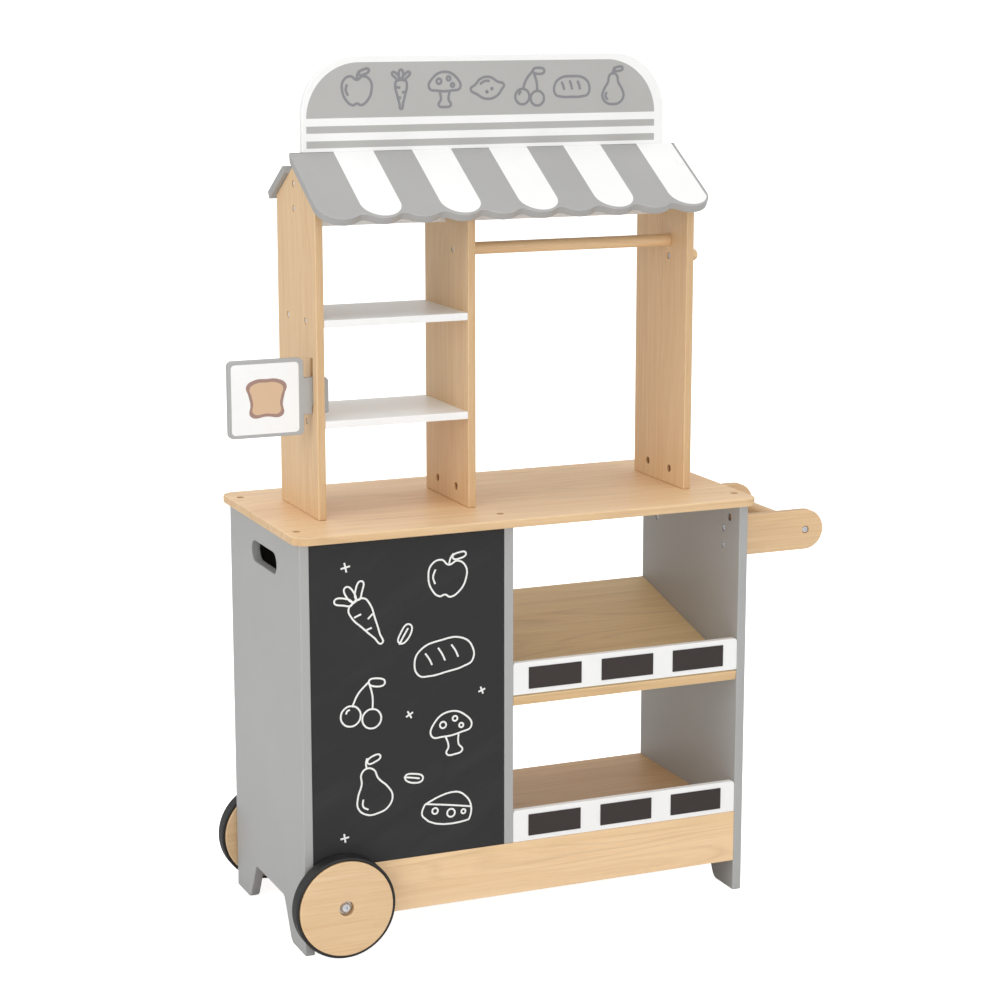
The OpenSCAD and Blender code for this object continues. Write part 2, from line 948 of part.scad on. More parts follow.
module axle_nut() {
    axle_place() translate([0, 0, -panel_t - lock_nut_h]) difference() {
        cylinder(d = lock_nut_d, h = lock_nut_h, $fn = 6);
        translate([0, 0, -overrun]) cylinder(d = axle_d + 2 * fit, h = lock_nut_h + 2 * overrun);
    }
}

module front_wheel_disc() {
    color("burlywood") place() wheel_disc();
}

module front_tyre() {
    color("#333333") place() tyre();
}

module front_axle_bolt() {
    color("silver") place() axle_bolt();
}

module front_axle_washers() {
    color("silver") place() axle_washers();
}

module front_axle_nut() {
    color("silver") place() axle_nut();
}

module rear_wheel_disc() {
    color("burlywood") place() rear_twin() wheel_disc();
}

module rear_tyre() {
    color("#333333") place() rear_twin() tyre();
}

module rear_axle_bolt() {
    color("silver") place() rear_twin() axle_bolt();
}

module rear_axle_washers() {
    color("silver") place() rear_twin() axle_washers();
}

module rear_axle_nut() {
    color("silver") place() rear_twin() axle_nut();
}

// Handle

module handle_arm() {
    end = [arm_reach - arm_h / 2, arm_h / 2];
    difference() {
        translate([cab_w, arm_inset, arm_z - arm_h / 2]) along_y(arm_t) polygon(concat(
            [[0, arm_h], [0, 0]],
            arc(end, [end.x, 0], [arm_reach, end.y]), arc(end, [arm_reach, end.y], [end.x, arm_h])
        ));
        arm_screw_places() sunk_screw_bore();
        bar_bolt_places() bar_bolt_bore();
    }
}

module handle_front_arm() {
    color("burlywood") place() handle_arm();
}

module handle_rear_arm() {
    color("burlywood") place() rear_twin() handle_arm();
}

module handle_crossbar() {
    color("burlywood") place() difference() {
        translate([bar_x, cab_d - arm_inset - arm_t, arm_z])
            facing_front() cylinder(d = bar_d, h = cab_d - 2 * (arm_inset + arm_t));
        bar_bolt_places() bar_bolt_bore();
    }
}

// Fastener groups

module handle_bar_bolts() {
    color("silver") place() bar_bolt_places() sunk() bolt(bar_bolt_l);
}

module handle_arm_screws() {
    color("silver") place() arm_screw_places() sunk() screw();
}

module counter_bolts() {
    color("silver") place() counter_bolt_places() bolt(counter_bolt_l);
}

// A barrel nut in a board of thickness t
module barrel_nut(t) {
    translate([0, 0, -nut_sink]) shank(nut_d, t - nut_wall - nut_sink);
}

module counter_barrel_nuts() {
    color("silver") place() difference() {
        counter_nut_places() barrel_nut(panel_t);
        counter_bolt_bores();
    }
}

module upright_bolts() {
    color("silver") place() upright_bolt_places() bolt(upright_bolt_l);
}

module upright_barrel_nuts() {
    color("silver") place() difference() {
        upright_nut_places() barrel_nut(upright_t);
        upright_bolt_bores();
    }
}

module tower_shelf_screws() {
    color("silver") place() shelf_screw_places() sunk() screw();
}

module sign_screws() {
    color("silver") place() sign_screw_places() sunk() screw();
}

module rail_screws() {
    color("silver") place() rail_screw_places() sunk() screw();
}

module peg_screw() {
    color("silver") place() peg_screw_place() sunk() screw();
}

module awning_screws() {
    color("silver") place() {
        front_awning_screw_places() flush_screw();
        rear_awning_screw_places() flush_screw();
    }
}

module cabinet_dowels() {
    color("tan") place() dowel_rods(0);
}

left_side_panel();
right_side_panel();
centre_divider();
countertop();
chalkboard_panel();
rear_panel();
front_plinth();
rear_plinth();
bottom_board();
sloped_shelf();
upper_fence();
lower_fence();
upper_price_labels();
lower_price_labels();
left_upright();
middle_upright();
right_upright();
upper_tower_shelf();
lower_tower_shelf();
hanging_rail();
hanging_peg();
header_sign();
front_awning();
rear_awning();
flag_sign();
front_wheel_disc();
front_tyre();
front_axle_bolt();
front_axle_washers();
front_axle_nut();
rear_wheel_disc();
rear_tyre();
rear_axle_bolt();
rear_axle_washers();
rear_axle_nut();
handle_front_arm();
handle_rear_arm();
handle_crossbar();
handle_bar_bolts();
handle_arm_screws();
counter_bolts();
counter_barrel_nuts();
upright_bolts();
upright_barrel_nuts();
tower_shelf_screws();
sign_screws();
rail_screws();
peg_screw();
awning_screws();
cabinet_dowels();
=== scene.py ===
"""Toy market stall: the finished boards, wheels, signs, prints and fasteners, and the studio round it.

The file is laid out as a Blender add-on and is run as a script. Every piece stands in the frame of the
solid model, in metres: X runs to the right, Y to the back and Z up from the floor.
"""

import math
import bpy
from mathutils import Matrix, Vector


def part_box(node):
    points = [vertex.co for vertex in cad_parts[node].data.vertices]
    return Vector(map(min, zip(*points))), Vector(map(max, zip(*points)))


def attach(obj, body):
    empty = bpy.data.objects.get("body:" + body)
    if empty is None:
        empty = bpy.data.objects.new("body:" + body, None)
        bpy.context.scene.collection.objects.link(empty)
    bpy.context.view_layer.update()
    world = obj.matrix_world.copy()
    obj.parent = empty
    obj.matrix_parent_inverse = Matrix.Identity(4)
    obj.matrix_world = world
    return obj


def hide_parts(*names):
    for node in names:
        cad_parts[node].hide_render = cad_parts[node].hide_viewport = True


bl_info = {
    "name": "Toy Market Stall",
    "version": (1, 0, 0),
    "blender": (4, 5, 0),
    "location": "View3D > Sidebar > Stall",
    "description": "Builds the boards, wheels, signs and studio of a toy market stall",
    "category": "Object",
}

from functools import partialmethod

import bmesh
import bpy
from bpy.props import FloatProperty, FloatVectorProperty, IntProperty, PointerProperty
from bpy.types import Operator, Panel, PropertyGroup
from mathutils import Matrix, Vector

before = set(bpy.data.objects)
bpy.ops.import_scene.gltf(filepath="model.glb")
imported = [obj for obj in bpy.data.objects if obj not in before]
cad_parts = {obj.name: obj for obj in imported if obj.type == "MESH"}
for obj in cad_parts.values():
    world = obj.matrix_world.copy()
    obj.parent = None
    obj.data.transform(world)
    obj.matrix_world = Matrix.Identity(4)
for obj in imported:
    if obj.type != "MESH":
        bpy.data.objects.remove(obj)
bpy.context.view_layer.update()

MM = 0.001
UP = Vector((0, 0, 1))
LEFT, RIGHT = Vector((-1, 0, 0)), Vector((1, 0, 0))
FRONT, BACK = Vector((0, -1, 0)), Vector((0, 1, 0))
BLACK, WHITE = (0.0, 0.0, 0.0, 1.0), (1.0, 1.0, 1.0, 1.0)
# Edges that bend more than this are sharp
SHARP = math.radians(38)
# Edges run along an axis where the cosine of the angle between them is more than this
ALIGNED = 0.999
# Faces are a board's narrow edges, which wood finishes tint as painted shade, where their normal's share
# across the board is less than this
CUT_FACING = 0.6
# Points closer than this are one point
WELD = 0.005 * MM
# Measures that differ by less than this are alike
ALIKE = 0.01 * MM
# Points this near to a face of the solid model belong to it, and points of a round end this near are one
NEAR = 0.1 * MM
# A print reaches this far below its face
PRINT_SKIN = 0.15 * MM
# Each stroke of a picture lies higher than the one before by this share of half its width
STROKE_LIFT = 0.12
# A drill starts this far outside the board
DRILL_LEAD = 2 * MM
# A fastener's head lies no deeper than this below the face that it is sunk in
DEEPEST_HEAD = 3 * MM
# How far a shifted grain moves along each axis
GRAIN_SHIFT = Vector((1.0, 0.37, 0.71))
# How strongly the rounded edges are lightened by a painted highlight
EDGE_HIGHLIGHT = 0.35
# The painted highlight on wooden edges is lighter than the wood's light tone by this factor and this amount,
# and on paint by a factor
HIGHLIGHT_GAIN, HIGHLIGHT_LIFT = 1.14, 0.02
PAINT_HIGHLIGHT = 1.22
# Roughness of satin paint before its stipple
SATIN = 0.36
# Strength of every relief, and its depth on each kind of surface
RELIEF_STRENGTH = 0.5
RELIEF = {
    "wood": 0.12 * MM, "paint": 0.05 * MM, "chalkboard": 0.08 * MM, "chalk": 0.1 * MM, "rubber": 0.08 * MM,
    "metal": 0.006 * MM,
}
# Kinds of the shared effects' sockets that aren't plain numbers
SOCKETS = {
    "Vector": "NodeSocketVector",
    **dict.fromkeys(("Color", "Light", "Dark", "Bare"), "NodeSocketColor"),
}
# Turns of a pattern that bring each grain direction to the pattern's X
GRAIN = {"X": (0, 0, 0), "Y": (0, 0, -math.pi / 2), "Z": (0, math.pi / 2, 0)}


# Sizes and colours


def length(name, description, millimetres):
    """A length that the user can change, with its default in millimetres."""
    return FloatProperty(
        name=name, description=description, default=millimetres * MM, min=0.0, precision=4, unit="LENGTH"
    )


def angle(name, description, degrees):
    """An angle that the user can change, with its default in degrees."""
    return FloatProperty(name=name, description=description, default=math.radians(degrees), unit="ROTATION")


def colour(name, description, red, green, blue):
    """A colour that the user can change, with its default in linear light."""
    return FloatVectorProperty(
        name=name, description=description, default=(red, green, blue), min=0.0, max=1.0, size=3,
        subtype="COLOR",
    )


class StallSizes(PropertyGroup):
    """Sizes of the finish that the solid model does not carry, and of outlines that are drawn again."""

    board_round: length("Board edge", "Rounding of the edges of painted and wooden boards", 1.6)
    thin_round: length("Thin edge", "Rounding of the edges of fences, shelves and panels", 1.0)
    seam_round: length("Seam edge", "Rounding of the edges where the plinths meet the bottom board", 0.3)
    counter_round: length("Counter edge", "Rounding of the countertop's edges", 1.8)
    counter_corner: length("Counter corner", "Rounding of the countertop's corners in plan", 18.0)
    foot_length: length("Foot", "Length of a foot on the floor", 52.0)
    foot_round: length("Foot rounding", "Rounding of a foot at the floor", 12.0)
    arch_height: length("Arch", "Height of the arch between two feet", 50.0)
    arch_round: length("Arch rounding", "Rounding at the top of the arch", 8.0)
    arch_lean: angle("Arch lean", "Lean of the arch's sides from upright", 28.0)
    hole_length: length("Hand hole length", "Length of the hand hole", 97.0)
    hole_height: length("Hand hole height", "Height of the hand hole", 26.0)
    hole_drop: length("Hand hole drop", "From the side panel's top to the middle of the hand hole", 42.0)
    shelf_tilt: angle("Shelf tilt", "Tilt of the sloped display shelf", 13.7)
    shelf_board: length("Sloped shelf", "Thickness of the sloped display shelf", 12.0)
    fence_corner: length("Fence corner", "Rounding of a fence's upper corners", 4.0)
    label_corner: length("Label corner", "Rounding of a price label's corners", 0.4)
    roof_pitch: angle("Roof pitch", "Pitch of the roof", 31.0)
    awning_board: length("Awning", "Thickness of both awnings", 10.0)
    scallops: IntProperty(name="Scallops", description="Scallops along the front awning", default=10, min=2)
    scallop_depth: length("Scallop depth", "Depth of the scallops", 8.5)
    valley_round: length("Valley rounding", "Rounding of the valleys between the scallops", 11.5)
    awning_corner: length("Awning corner", "Rounding of the front awning's lower corners", 29.0)
    awning_round: length("Awning edge", "Rounding of the front awning's edges", 0.9)
    stripe_start: length("Stripe start", "From the awning's left end to its first white stripe", 54.5)
    stripe_width: length("Stripe width", "Width of a white stripe", 50.0)
    stripe_pitch: length("Stripe pitch", "From one white stripe to the next", 99.0)
    stripe_end: length("Stripe end", "Grey left beside the last white stripe", 4.3)
    stripe_rim: length("Stripe rim", "Grey left below a white stripe", 3.9)
    sign_corner: length("Sign corner", "Rounding of the header sign's upper corners", 68.0)
    field_left: length("Field left", "White left of the header's grey field", 5.5)
    field_right: length("Field right", "White right of the header's grey field", 12.0)
    field_top: length("Field top", "White above the header's grey field", 7.5)
    field_height: length("Field height", "Height of the header's grey field", 64.5)
    field_corner: length("Field corner", "Rounding of the grey field's upper corners", 66.0)
    band_height: length("Band height", "Height of a grey band under the header's field", 8.3)
    band_gap: length("Band gap", "White between two bands", 9.0)
    flag_corner: length("Flag corner", "Rounding of the flag sign's corners", 6.0)
    flag_neck: length("Flag neck", "Length of the neck between the flag's plate and the upright", 10.5)
    neck_height: length("Neck height", "Height of the flag sign's neck", 43.0)
    notch_depth: length("Notch", "Depth of the notch that hooks the neck over the slot's sill", 9.0)
    slot_gap: length("Slot gap", "Running gap beside the neck in its slot", 0.4)
    tab_corner: length("Tab corner", "Rounding of the tab's lower corner", 2.0)
    face_left: length("Face left", "Grey left of the flag's white face", 3.4)
    face_right: length("Face right", "Grey right of the flag's white face", 6.4)
    face_rim: length("Face rim", "Grey above and below the flag's white face", 4.2)
    face_corner: length("Face corner", "Rounding of the white face's corners", 4.6)
    hub_recess: length("Hub recess", "Diameter of the recess in a wheel's hub", 18.0)
    hub_depth: length("Hub depth", "Depth of the recess in a wheel's hub", 9.0)
    axle_bore: length("Axle bore", "Diameter of a wheel's bore", 8.8)
    head_hole: length("Screw hole", "Diameter of the holes that sink the screws", 8.3)
    head_sink: length("Screw seat", "Depth of the holes that sink the screws", 2.8)
    bolt_hole: length("Bolt hole", "Diameter of the holes that sink the bolts", 9.6)
    bolt_sink: length("Bolt seat", "Depth of the holes that sink the counter bolts", 5.0)
    flush_hole: length("Flush hole", "Diameter of the holes that hold flush screw heads", 8.3)
    flush_sink: length("Flush seat", "Depth of the holes that hold flush screw heads", 2.4)
    nut_wall: length("Nut wall", "Board left closed behind a barrel nut", 1.8)
    nut_hole: length("Nut hole", "Diameter of the holes that take the barrel nuts", 9.7)
    chalk_line: length("Chalk line", "Width of a chalk line", 2.2)
    chalk_depth: length("Chalk depth", "Thickness of a chalk line", 0.25)
    print_line: length("Printed line", "Width of a line printed on the header", 3.2)
    print_depth: length("Print depth", "Thickness of a line printed on the header", 0.2)
    picture: length("Picture", "Size of a picture printed on the header", 46.0)
    crust: length("Crust", "Size of the slice of bread on the flag sign", 58.0)
    crust_depth: length("Crust depth", "Thickness of the printed crust", 0.15)
    crumb: length("Crumb", "Size of the slice inside its crust", 48.0)
    crumb_depth: length("Crumb depth", "Thickness of the printed crumb", 0.25)
    chalkboard_round: length("Chalkboard edge", "Rounding of the chalkboard's edges", 0.6)
    label_round: length("Label edge", "Rounding of a price label's edges", 0.1)
    bar_round: length("Bar end", "Rounding at the ends of the rail and the crossbar", 0.5)
    peg_round: length("Peg end", "Rounding at the ends of the peg", 5.5)
    disc_round: length("Wheel edge", "Rounding of a wheel disc's edges", 1.2)
    tyre_round: length("Tyre edge", "Rounding of a tyre's edges", 1.6)


class StallColours(PropertyGroup):
    """Colours of the finishes, in linear light."""

    counter: colour("Counter", "Light tone of the counter and plinths", 0.95, 0.69, 0.42)
    counter_grain: colour("Counter grain", "Dark tone of the counter and plinths", 0.845, 0.555, 0.30)
    upright: colour("Upright", "Light tone of the uprights", 0.84, 0.61, 0.368)
    upright_grain: colour("Upright grain", "Dark tone of the uprights", 0.745, 0.48, 0.246)
    shelf: colour("Shelf", "Light tone of the display shelves", 0.925, 0.735, 0.44)
    shelf_grain: colour("Shelf grain", "Dark tone of the display shelves", 0.78, 0.57, 0.31)
    base: colour("Bottom board", "Light tone of the bottom board", 0.76, 0.50, 0.275)
    base_grain: colour("Bottom board grain", "Dark tone of the bottom board", 0.66, 0.395, 0.185)
    grey: colour("Grey paint", "Paint of the panels and the flag's rim", 0.425, 0.427, 0.422)
    awning_grey: colour("Awning grey", "Paint of both awnings", 0.387, 0.383, 0.374)
    header_grey: colour("Header grey", "Printed field and bands of the header", 0.465, 0.459, 0.443)
    white: colour("White paint", "Paint of the fences, shelves and header", 0.94, 0.94, 0.93)
    ink: colour("Grey ink", "Ink of the header's pictures", 0.25, 0.25, 0.265)
    board: colour("Chalkboard", "Chalkboard paint", 0.030, 0.030, 0.031)
    chalk: colour("Chalk", "Chalk lines", 0.92, 0.92, 0.90)
    label: colour("Label", "Dark film of the price labels", 0.025, 0.0155, 0.013)
    rubber: colour("Rubber", "Tyres", 0.013, 0.0135, 0.013)
    dust: colour("Dust", "Floor dust on the tyres", 0.16, 0.155, 0.145)
    steel: colour("Steel", "Washers, axle bolts and handle screws", 0.78, 0.80, 0.84)
    screw: colour("Screw", "Screws of the tower", 0.94, 0.94, 0.95)
    bronze: colour("Bronze", "Counter bolts and barrel nuts", 0.36, 0.20, 0.10)
    crust: colour("Crust", "Brown of the flag's picture", 0.37, 0.225, 0.185)
    crumb: colour("Crumb", "Tan of the flag's picture", 0.70, 0.48, 0.30)


def rgba(value):
    """A colour with full cover."""
    return (*value, 1.0)


# Measures that finishes and shapes share


def roof_matrix():
    """The plane of the front roof slope: Y climbs to the ridge and Z points out of the roof."""
    low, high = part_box("right_upright")
    ridge = Vector((0, (low.y + high.y) / 2, high.z))
    return Matrix.Translation(ridge) @ Matrix.Rotation(bpy.context.scene.stall_sizes.roof_pitch, 4, "X")


def slope_length(node, tilt, thick):
    """The length up the slope of a board of a thickness that fills a node's box at a tilt."""
    low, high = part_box(node)
    return (high.y - low.y - thick * math.sin(abs(tilt))) / math.cos(tilt)


def awning_length():
    """The length of the front awning down its slope, scallops included."""
    sizes = bpy.context.scene.stall_sizes
    return slope_length("front_awning", sizes.roof_pitch, sizes.awning_board)


def flag_plate():
    """The width of the flag sign's plate, without its neck and tab."""
    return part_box("left_upright")[0].x - bpy.context.scene.stall_sizes.flag_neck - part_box("flag_sign")[0].x


# Nodes and shared effects


class Nodes:
    """A node tree with short calls that add and join nodes."""

    def __init__(self, tree):
        self.tree = tree

    def join(self, node, inputs):
        """Sets or links some inputs of a node."""
        for key, value in inputs.items():
            if isinstance(value, bpy.types.NodeSocket):
                self.tree.links.new(value, node.inputs[key])
            else:
                node.inputs[key].default_value = value

    def add(self, kind, inputs=None, **settings):
        """The outputs of a new node."""
        node = self.tree.nodes.new(kind)
        for key, value in settings.items():
            setattr(node, key, value)
        self.join(node, inputs or {})
        return node.outputs

    def use(self, group, **inputs):
        """The outputs of a shared effect."""
        return self.add("ShaderNodeGroup", inputs, node_tree=group())

    def math(self, operation, *values, clamp=False):
        return self.add("ShaderNodeMath", dict(enumerate(values)), operation=operation, use_clamp=clamp)[0]

    plus, minus = partialmethod(math, "ADD"), partialmethod(math, "SUBTRACT")
    times, most = partialmethod(math, "MULTIPLY"), partialmethod(math, "MAXIMUM")
    over, under = partialmethod(math, "GREATER_THAN"), partialmethod(math, "LESS_THAN")

    def vector(self, operation, first, second):
        return self.add("ShaderNodeVectorMath", {0: first, 1: second}, operation=operation)[0]

    def noise(self, where, scale, detail=2.0, roughness=0.5):
        """Noise with one scale, or with a scale along each axis."""
        if isinstance(scale, tuple):
            where, scale = self.vector("MULTIPLY", where, scale), 1.0
        sockets = {"Vector": where, "Scale": scale, "Detail": detail, "Roughness": roughness}
        return self.add("ShaderNodeTexNoise", sockets)[0]

    def remap(self, value, low, high, to_low=0.0, to_high=1.0):
        sockets = {"Value": value, "From Min": low, "From Max": high, "To Min": to_low, "To Max": to_high}
        return self.add("ShaderNodeMapRange", sockets)[0]

    def mix(self, factor, first, second, blend="MIX"):
        sockets = {0: factor, 6: first, 7: second}
        return self.add("ShaderNodeMix", sockets, data_type="RGBA", blend_type=blend)[2]

    def shade(self, tone, value):
        """A colour made lighter or darker by a factor."""
        return self.add("ShaderNodeHueSaturation", {"Color": tone, "Value": value})[0]

    def axes(self, vector):
        return self.add("ShaderNodeSeparateXYZ", {0: vector})

    def place(self, turn=(0, 0, 0), shift=(0, 0, 0)):
        """Object coordinates, turned and then shifted."""
        where = self.add("ShaderNodeTexCoord")["Object"]
        return self.add("ShaderNodeMapping", {"Vector": where, "Rotation": turn, "Location": shift})[0]

    def marked(self, name):
        """An attribute of the mesh."""
        return self.add("ShaderNodeAttribute", attribute_name=name)["Fac"]

    def seen(self):
        """1 for what the camera sees straight, and 0 for light on its way between things."""
        return self.add("ShaderNodeLightPath")["Is Camera Ray"]

    def distance(self, *parts):
        """The distance whose two parts are given."""
        return self.math("SQRT", self.plus(*(self.math("POWER", part, 2.0) for part in parts)))

    def rounded(self, corner, *spans):
        """1 in a rectangle with round corners. Each of its two spans is a value, its least and its most."""
        past = []
        for value, low, high in spans:
            away = self.math("ABSOLUTE", self.minus(value, (low + high) / 2))
            past.append(self.most(self.minus(away, (high - low) / 2 - corner), 0.0))
        return self.under(self.distance(*past), corner)

    def between(self, value, low, high):
        """1 where a value lies between two others."""
        return self.times(self.over(value, low), self.under(value, high))


def effect(name, inputs, outputs=("Color", "Roughness", "Height")):
    """Makes a function that joins nodes into one that gives its shader node group, built once."""

    def wrap(build):
        def group():
            tree = bpy.data.node_groups.get(name)
            if tree:
                return tree
            tree = bpy.data.node_groups.new(name, "ShaderNodeTree")
            for side, sockets in (("INPUT", inputs), ("OUTPUT", outputs)):
                for socket in sockets:
                    kind = SOCKETS.get(socket, "NodeSocketFloat")
                    tree.interface.new_socket(name=socket, in_out=side, socket_type=kind)
            n = Nodes(tree)
            n.add("NodeGroupOutput", dict(enumerate(build(n, n.add("NodeGroupInput")))))
            return tree

        return group

    return wrap


@effect("wood grain", ("Vector", "Light", "Dark", "Bands", "Lines"))
def wood_grain(n, given):
    """Grain along the pattern's X: broad bands, fibres, growth lines and short pores."""
    sway = n.times(n.minus(n.noise(given["Vector"], (2.2, 9.0, 9.0)), 0.5), 0.04)
    bent = n.vector("ADD", given["Vector"], sway)
    bands = n.noise(bent, (0.9, 62.0, 62.0), detail=3.0, roughness=0.55)
    fibres = n.noise(bent, (5.0, 270.0, 270.0), detail=3.0, roughness=0.6)
    pores = n.remap(n.noise(bent, (34.0, 1500.0, 1500.0), detail=1.0), 0.60, 0.74)
    banded = n.times(n.remap(bands, 0.3, 0.7), given["Bands"])
    streaked = n.times(n.remap(fibres, 0.32, 0.68), n.minus(1.0, given["Bands"]))
    body = n.mix(n.plus(banded, streaked, clamp=True), given["Light"], given["Dark"])
    rings = n.times(n.noise(bent, (1.3, 15.0, 15.0), detail=1.0), 34.0)
    lines = n.remap(n.math("PINGPONG", rings, 1.0), 0.0, 0.5, 1.0, 0.0)
    fading = n.remap(n.noise(bent, (4.0, 40.0, 40.0)), 0.35, 0.65, 0.15, 1.0)
    deep = n.shade(given["Dark"], 0.80)
    lined = n.mix(n.times(n.times(lines, fading), given["Lines"]), body, deep)
    face = n.mix(n.times(pores, 0.28), lined, deep)
    return face, n.plus(n.times(fibres, 0.16), 0.38), n.minus(n.times(fibres, 0.6), n.times(pores, 0.5))


@effect("satin paint", ("Vector", "Color", "Rough"))
def satin_paint(n, given):
    """Rolled satin paint: faint clouds in the tone and a fine stipple."""
    clouds = n.noise(given["Vector"], 11.0, detail=4.0, roughness=0.55)
    stipple = n.noise(given["Vector"], 620.0)
    face = n.shade(given["Color"], n.remap(clouds, 0.3, 0.7, 0.975, 1.02))
    return face, n.plus(n.times(stipple, 0.16), given["Rough"]), stipple


@effect("rubbed edge", ("Vector", "Color", "Bare", "Amount"), ("Color",))
def painted_edge_highlight(n, given):
    """A painted highlight, lighter in patches, on the rounded edges marked on the mesh."""
    patches = n.remap(n.noise(given["Vector"], 70.0, detail=3.0), 0.3, 0.65, 0.25, 1.0)
    # Painted highlight: the marked edges are mixed towards the lighter highlight colour
    highlit = n.times(n.times(n.marked("edge"), patches), given["Amount"])
    return (n.mix(highlit, given["Color"], given["Bare"]),)


@effect("turned metal", ("Vector", "Color"))
def turned_metal(n, given):
    """Plated metal with faint turning marks."""
    marks = n.noise(given["Vector"], 2600.0)
    haze = n.noise(given["Vector"], 240.0, detail=3.0)
    face = n.shade(given["Color"], n.remap(haze, 0.3, 0.7, 0.88, 1.06))
    return face, n.remap(marks, 0.3, 0.7, 0.2, 0.36), marks


# Finishes


def blank(name):
    """A new material with its nodes and its shader."""
    material = bpy.data.materials.new(name)
    material.use_nodes = True
    return material, Nodes(material.node_tree), material.node_tree.nodes["Principled BSDF"]


def lay(n, shader, face, rough, height, depth, **settings):
    """Joins a colour, a roughness and a relief of some depth to a shader, and sets its other inputs."""
    bump = n.add("ShaderNodeBump", {"Height": height, "Strength": RELIEF_STRENGTH, "Distance": depth})[0]
    n.join(shader, {"Base Color": face, "Roughness": rough, "Normal": bump})
    n.join(shader, {key.replace("_", " "): value for key, value in settings.items()})


def wooden(n, shader, tones, tone, grain, bands, lines, shift=0.0, cut=(0.86, 0.83, 0.78)):
    """Lacquered wood of two tones, with its grain along one axis, a painted highlight on its rounded edges and
    a tint on its narrow edges that is painted shade (the counter's tone on the bottom board).
    """
    where = n.place(GRAIN[grain], shift * GRAIN_SHIFT)
    pale, deep = getattr(tones, tone), getattr(tones, tone + "_grain")
    wood = n.use(wood_grain, Vector=where, Light=rgba(pale), Dark=rgba(deep), Bands=bands, Lines=lines)
    # The lighter colour of the painted highlight on the wood's rounded edges
    highlight_tone = rgba(min(1.0, HIGHLIGHT_GAIN * part + HIGHLIGHT_LIFT) for part in pale)
    edge = n.use(painted_edge_highlight, Vector=where, Color=wood["Color"], Bare=highlight_tone, Amount=EDGE_HIGHLIGHT)
    # Painted shade: the marked narrow edges are multiplied by the tint, which darkens them (the bottom board's
    # tint gives the counter's tone)
    face = n.mix(n.marked("cut"), edge["Color"], rgba(cut), "MULTIPLY")
    lay(
        n, shader, face, wood["Roughness"], wood["Height"], RELIEF["wood"],
        Coat_Weight=0.12, Coat_Roughness=0.35,
    )


def paint(n, shader, face, rough=SATIN, highlight=EDGE_HIGHLIGHT, **settings):
    """Satin paint over a colour that may vary, with a painted highlight on its rounded edges."""
    where = n.place()
    coat = n.use(satin_paint, Vector=where, Color=face, Rough=rough)
    # The lighter colour of the painted highlight on the paint's rounded edges
    pale = n.shade(coat["Color"], PAINT_HIGHLIGHT)
    edge = n.use(painted_edge_highlight, Vector=where, Color=coat["Color"], Bare=pale, Amount=highlight)
    lay(n, shader, edge["Color"], coat["Roughness"], coat["Height"], RELIEF["paint"], **settings)


def painted(n, shader, tones, tone, rough=SATIN):
    """Satin paint of one tone."""
    paint(n, shader, rgba(getattr(tones, tone)), rough)


def header_print(n, shader, tones):
    """The header's front: a grey field with round upper corners and two grey bands, on white."""
    sizes = bpy.context.scene.stall_sizes
    low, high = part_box("header_sign")
    across, depth, along = n.axes(n.place())
    left, right = low.x + sizes.field_left, high.x - sizes.field_right
    top, corner = high.z - sizes.field_top, sizes.field_corner
    foot = top - sizes.field_height
    field = n.rounded(corner, (across, left, right), (along, top - 2 * corner, top))
    grey = n.times(field, n.over(along, foot))
    for step in (1, 2):
        upper = foot - step * sizes.band_gap - (step - 1) * sizes.band_height
        band = n.between(along, upper - sizes.band_height, upper)
        grey = n.plus(grey, n.times(band, n.between(across, left, right)))
    shown = n.times(grey, n.under(depth, low.y + PRINT_SKIN))
    paint(n, shader, n.mix(shown, rgba(tones.white), rgba(tones.header_grey)))


def awning_print(n, shader, tones):
    """Grey awning paint with white stripes that end in a round tongue above each scallop."""
    sizes = bpy.context.scene.stall_sizes
    low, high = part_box("front_awning")
    slope = roof_matrix().inverted()
    across, climb, lift = n.axes(n.place(slope.to_euler(), slope.translation))
    start, half = n.minus(across, low.x + sizes.stripe_start), sizes.stripe_width / 2
    off = n.minus(n.math("FLOORED_MODULO", start, sizes.stripe_pitch), half)
    tongue = awning_length() - sizes.stripe_rim - half
    below = n.most(n.minus(n.times(climb, -1.0), tongue), 0.0)
    shown = n.under(n.distance(off, below), half)
    for limit in (
        n.over(start, 0.0), n.under(across, high.x - sizes.stripe_end),
        n.over(lift, sizes.awning_board - PRINT_SKIN),
    ):
        shown = n.times(shown, limit)
    face = n.mix(shown, rgba(tones.awning_grey), rgba(tones.white))
    # The awning's rounded edges get a strong painted highlight
    paint(n, shader, face, highlight=0.9, Coat_Weight=0.6, Coat_Roughness=0.18)


def flag_print(n, shader, tones):
    """The flag sign: a white face with a grey rim, front and back, and grey edges."""
    sizes = bpy.context.scene.stall_sizes
    low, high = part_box("flag_sign")
    across, depth, along = n.axes(n.place())
    face = n.rounded(
        sizes.face_corner,
        (across, low.x + sizes.face_left, low.x + flag_plate() - sizes.face_right),
        (along, low.z + sizes.face_rim, high.z - sizes.face_rim),
    )
    outer = n.minus(1.0, n.between(depth, low.y + PRINT_SKIN, high.y - PRINT_SKIN))
    paint(n, shader, n.mix(n.times(face, outer), rgba(tones.grey), rgba(tones.white)))


def chalkboard_paint(n, shader, tones):
    """Matt chalkboard paint with a veil of wiped chalk."""
    coat = n.use(satin_paint, Vector=n.place(), Color=rgba(tones.board), Rough=0.62)
    wipes = n.noise(n.place(turn=(0, 0.5, 0)), (5.0, 5.0, 26.0), detail=5.0, roughness=0.6)
    face = n.mix(n.remap(wipes, 0.5, 0.85, 0.0, 0.012), coat["Color"], rgba(tones.chalk))
    depth = RELIEF["chalkboard"]
    lay(n, shader, face, coat["Roughness"], coat["Height"], depth, Specular_IOR_Level=0.25)


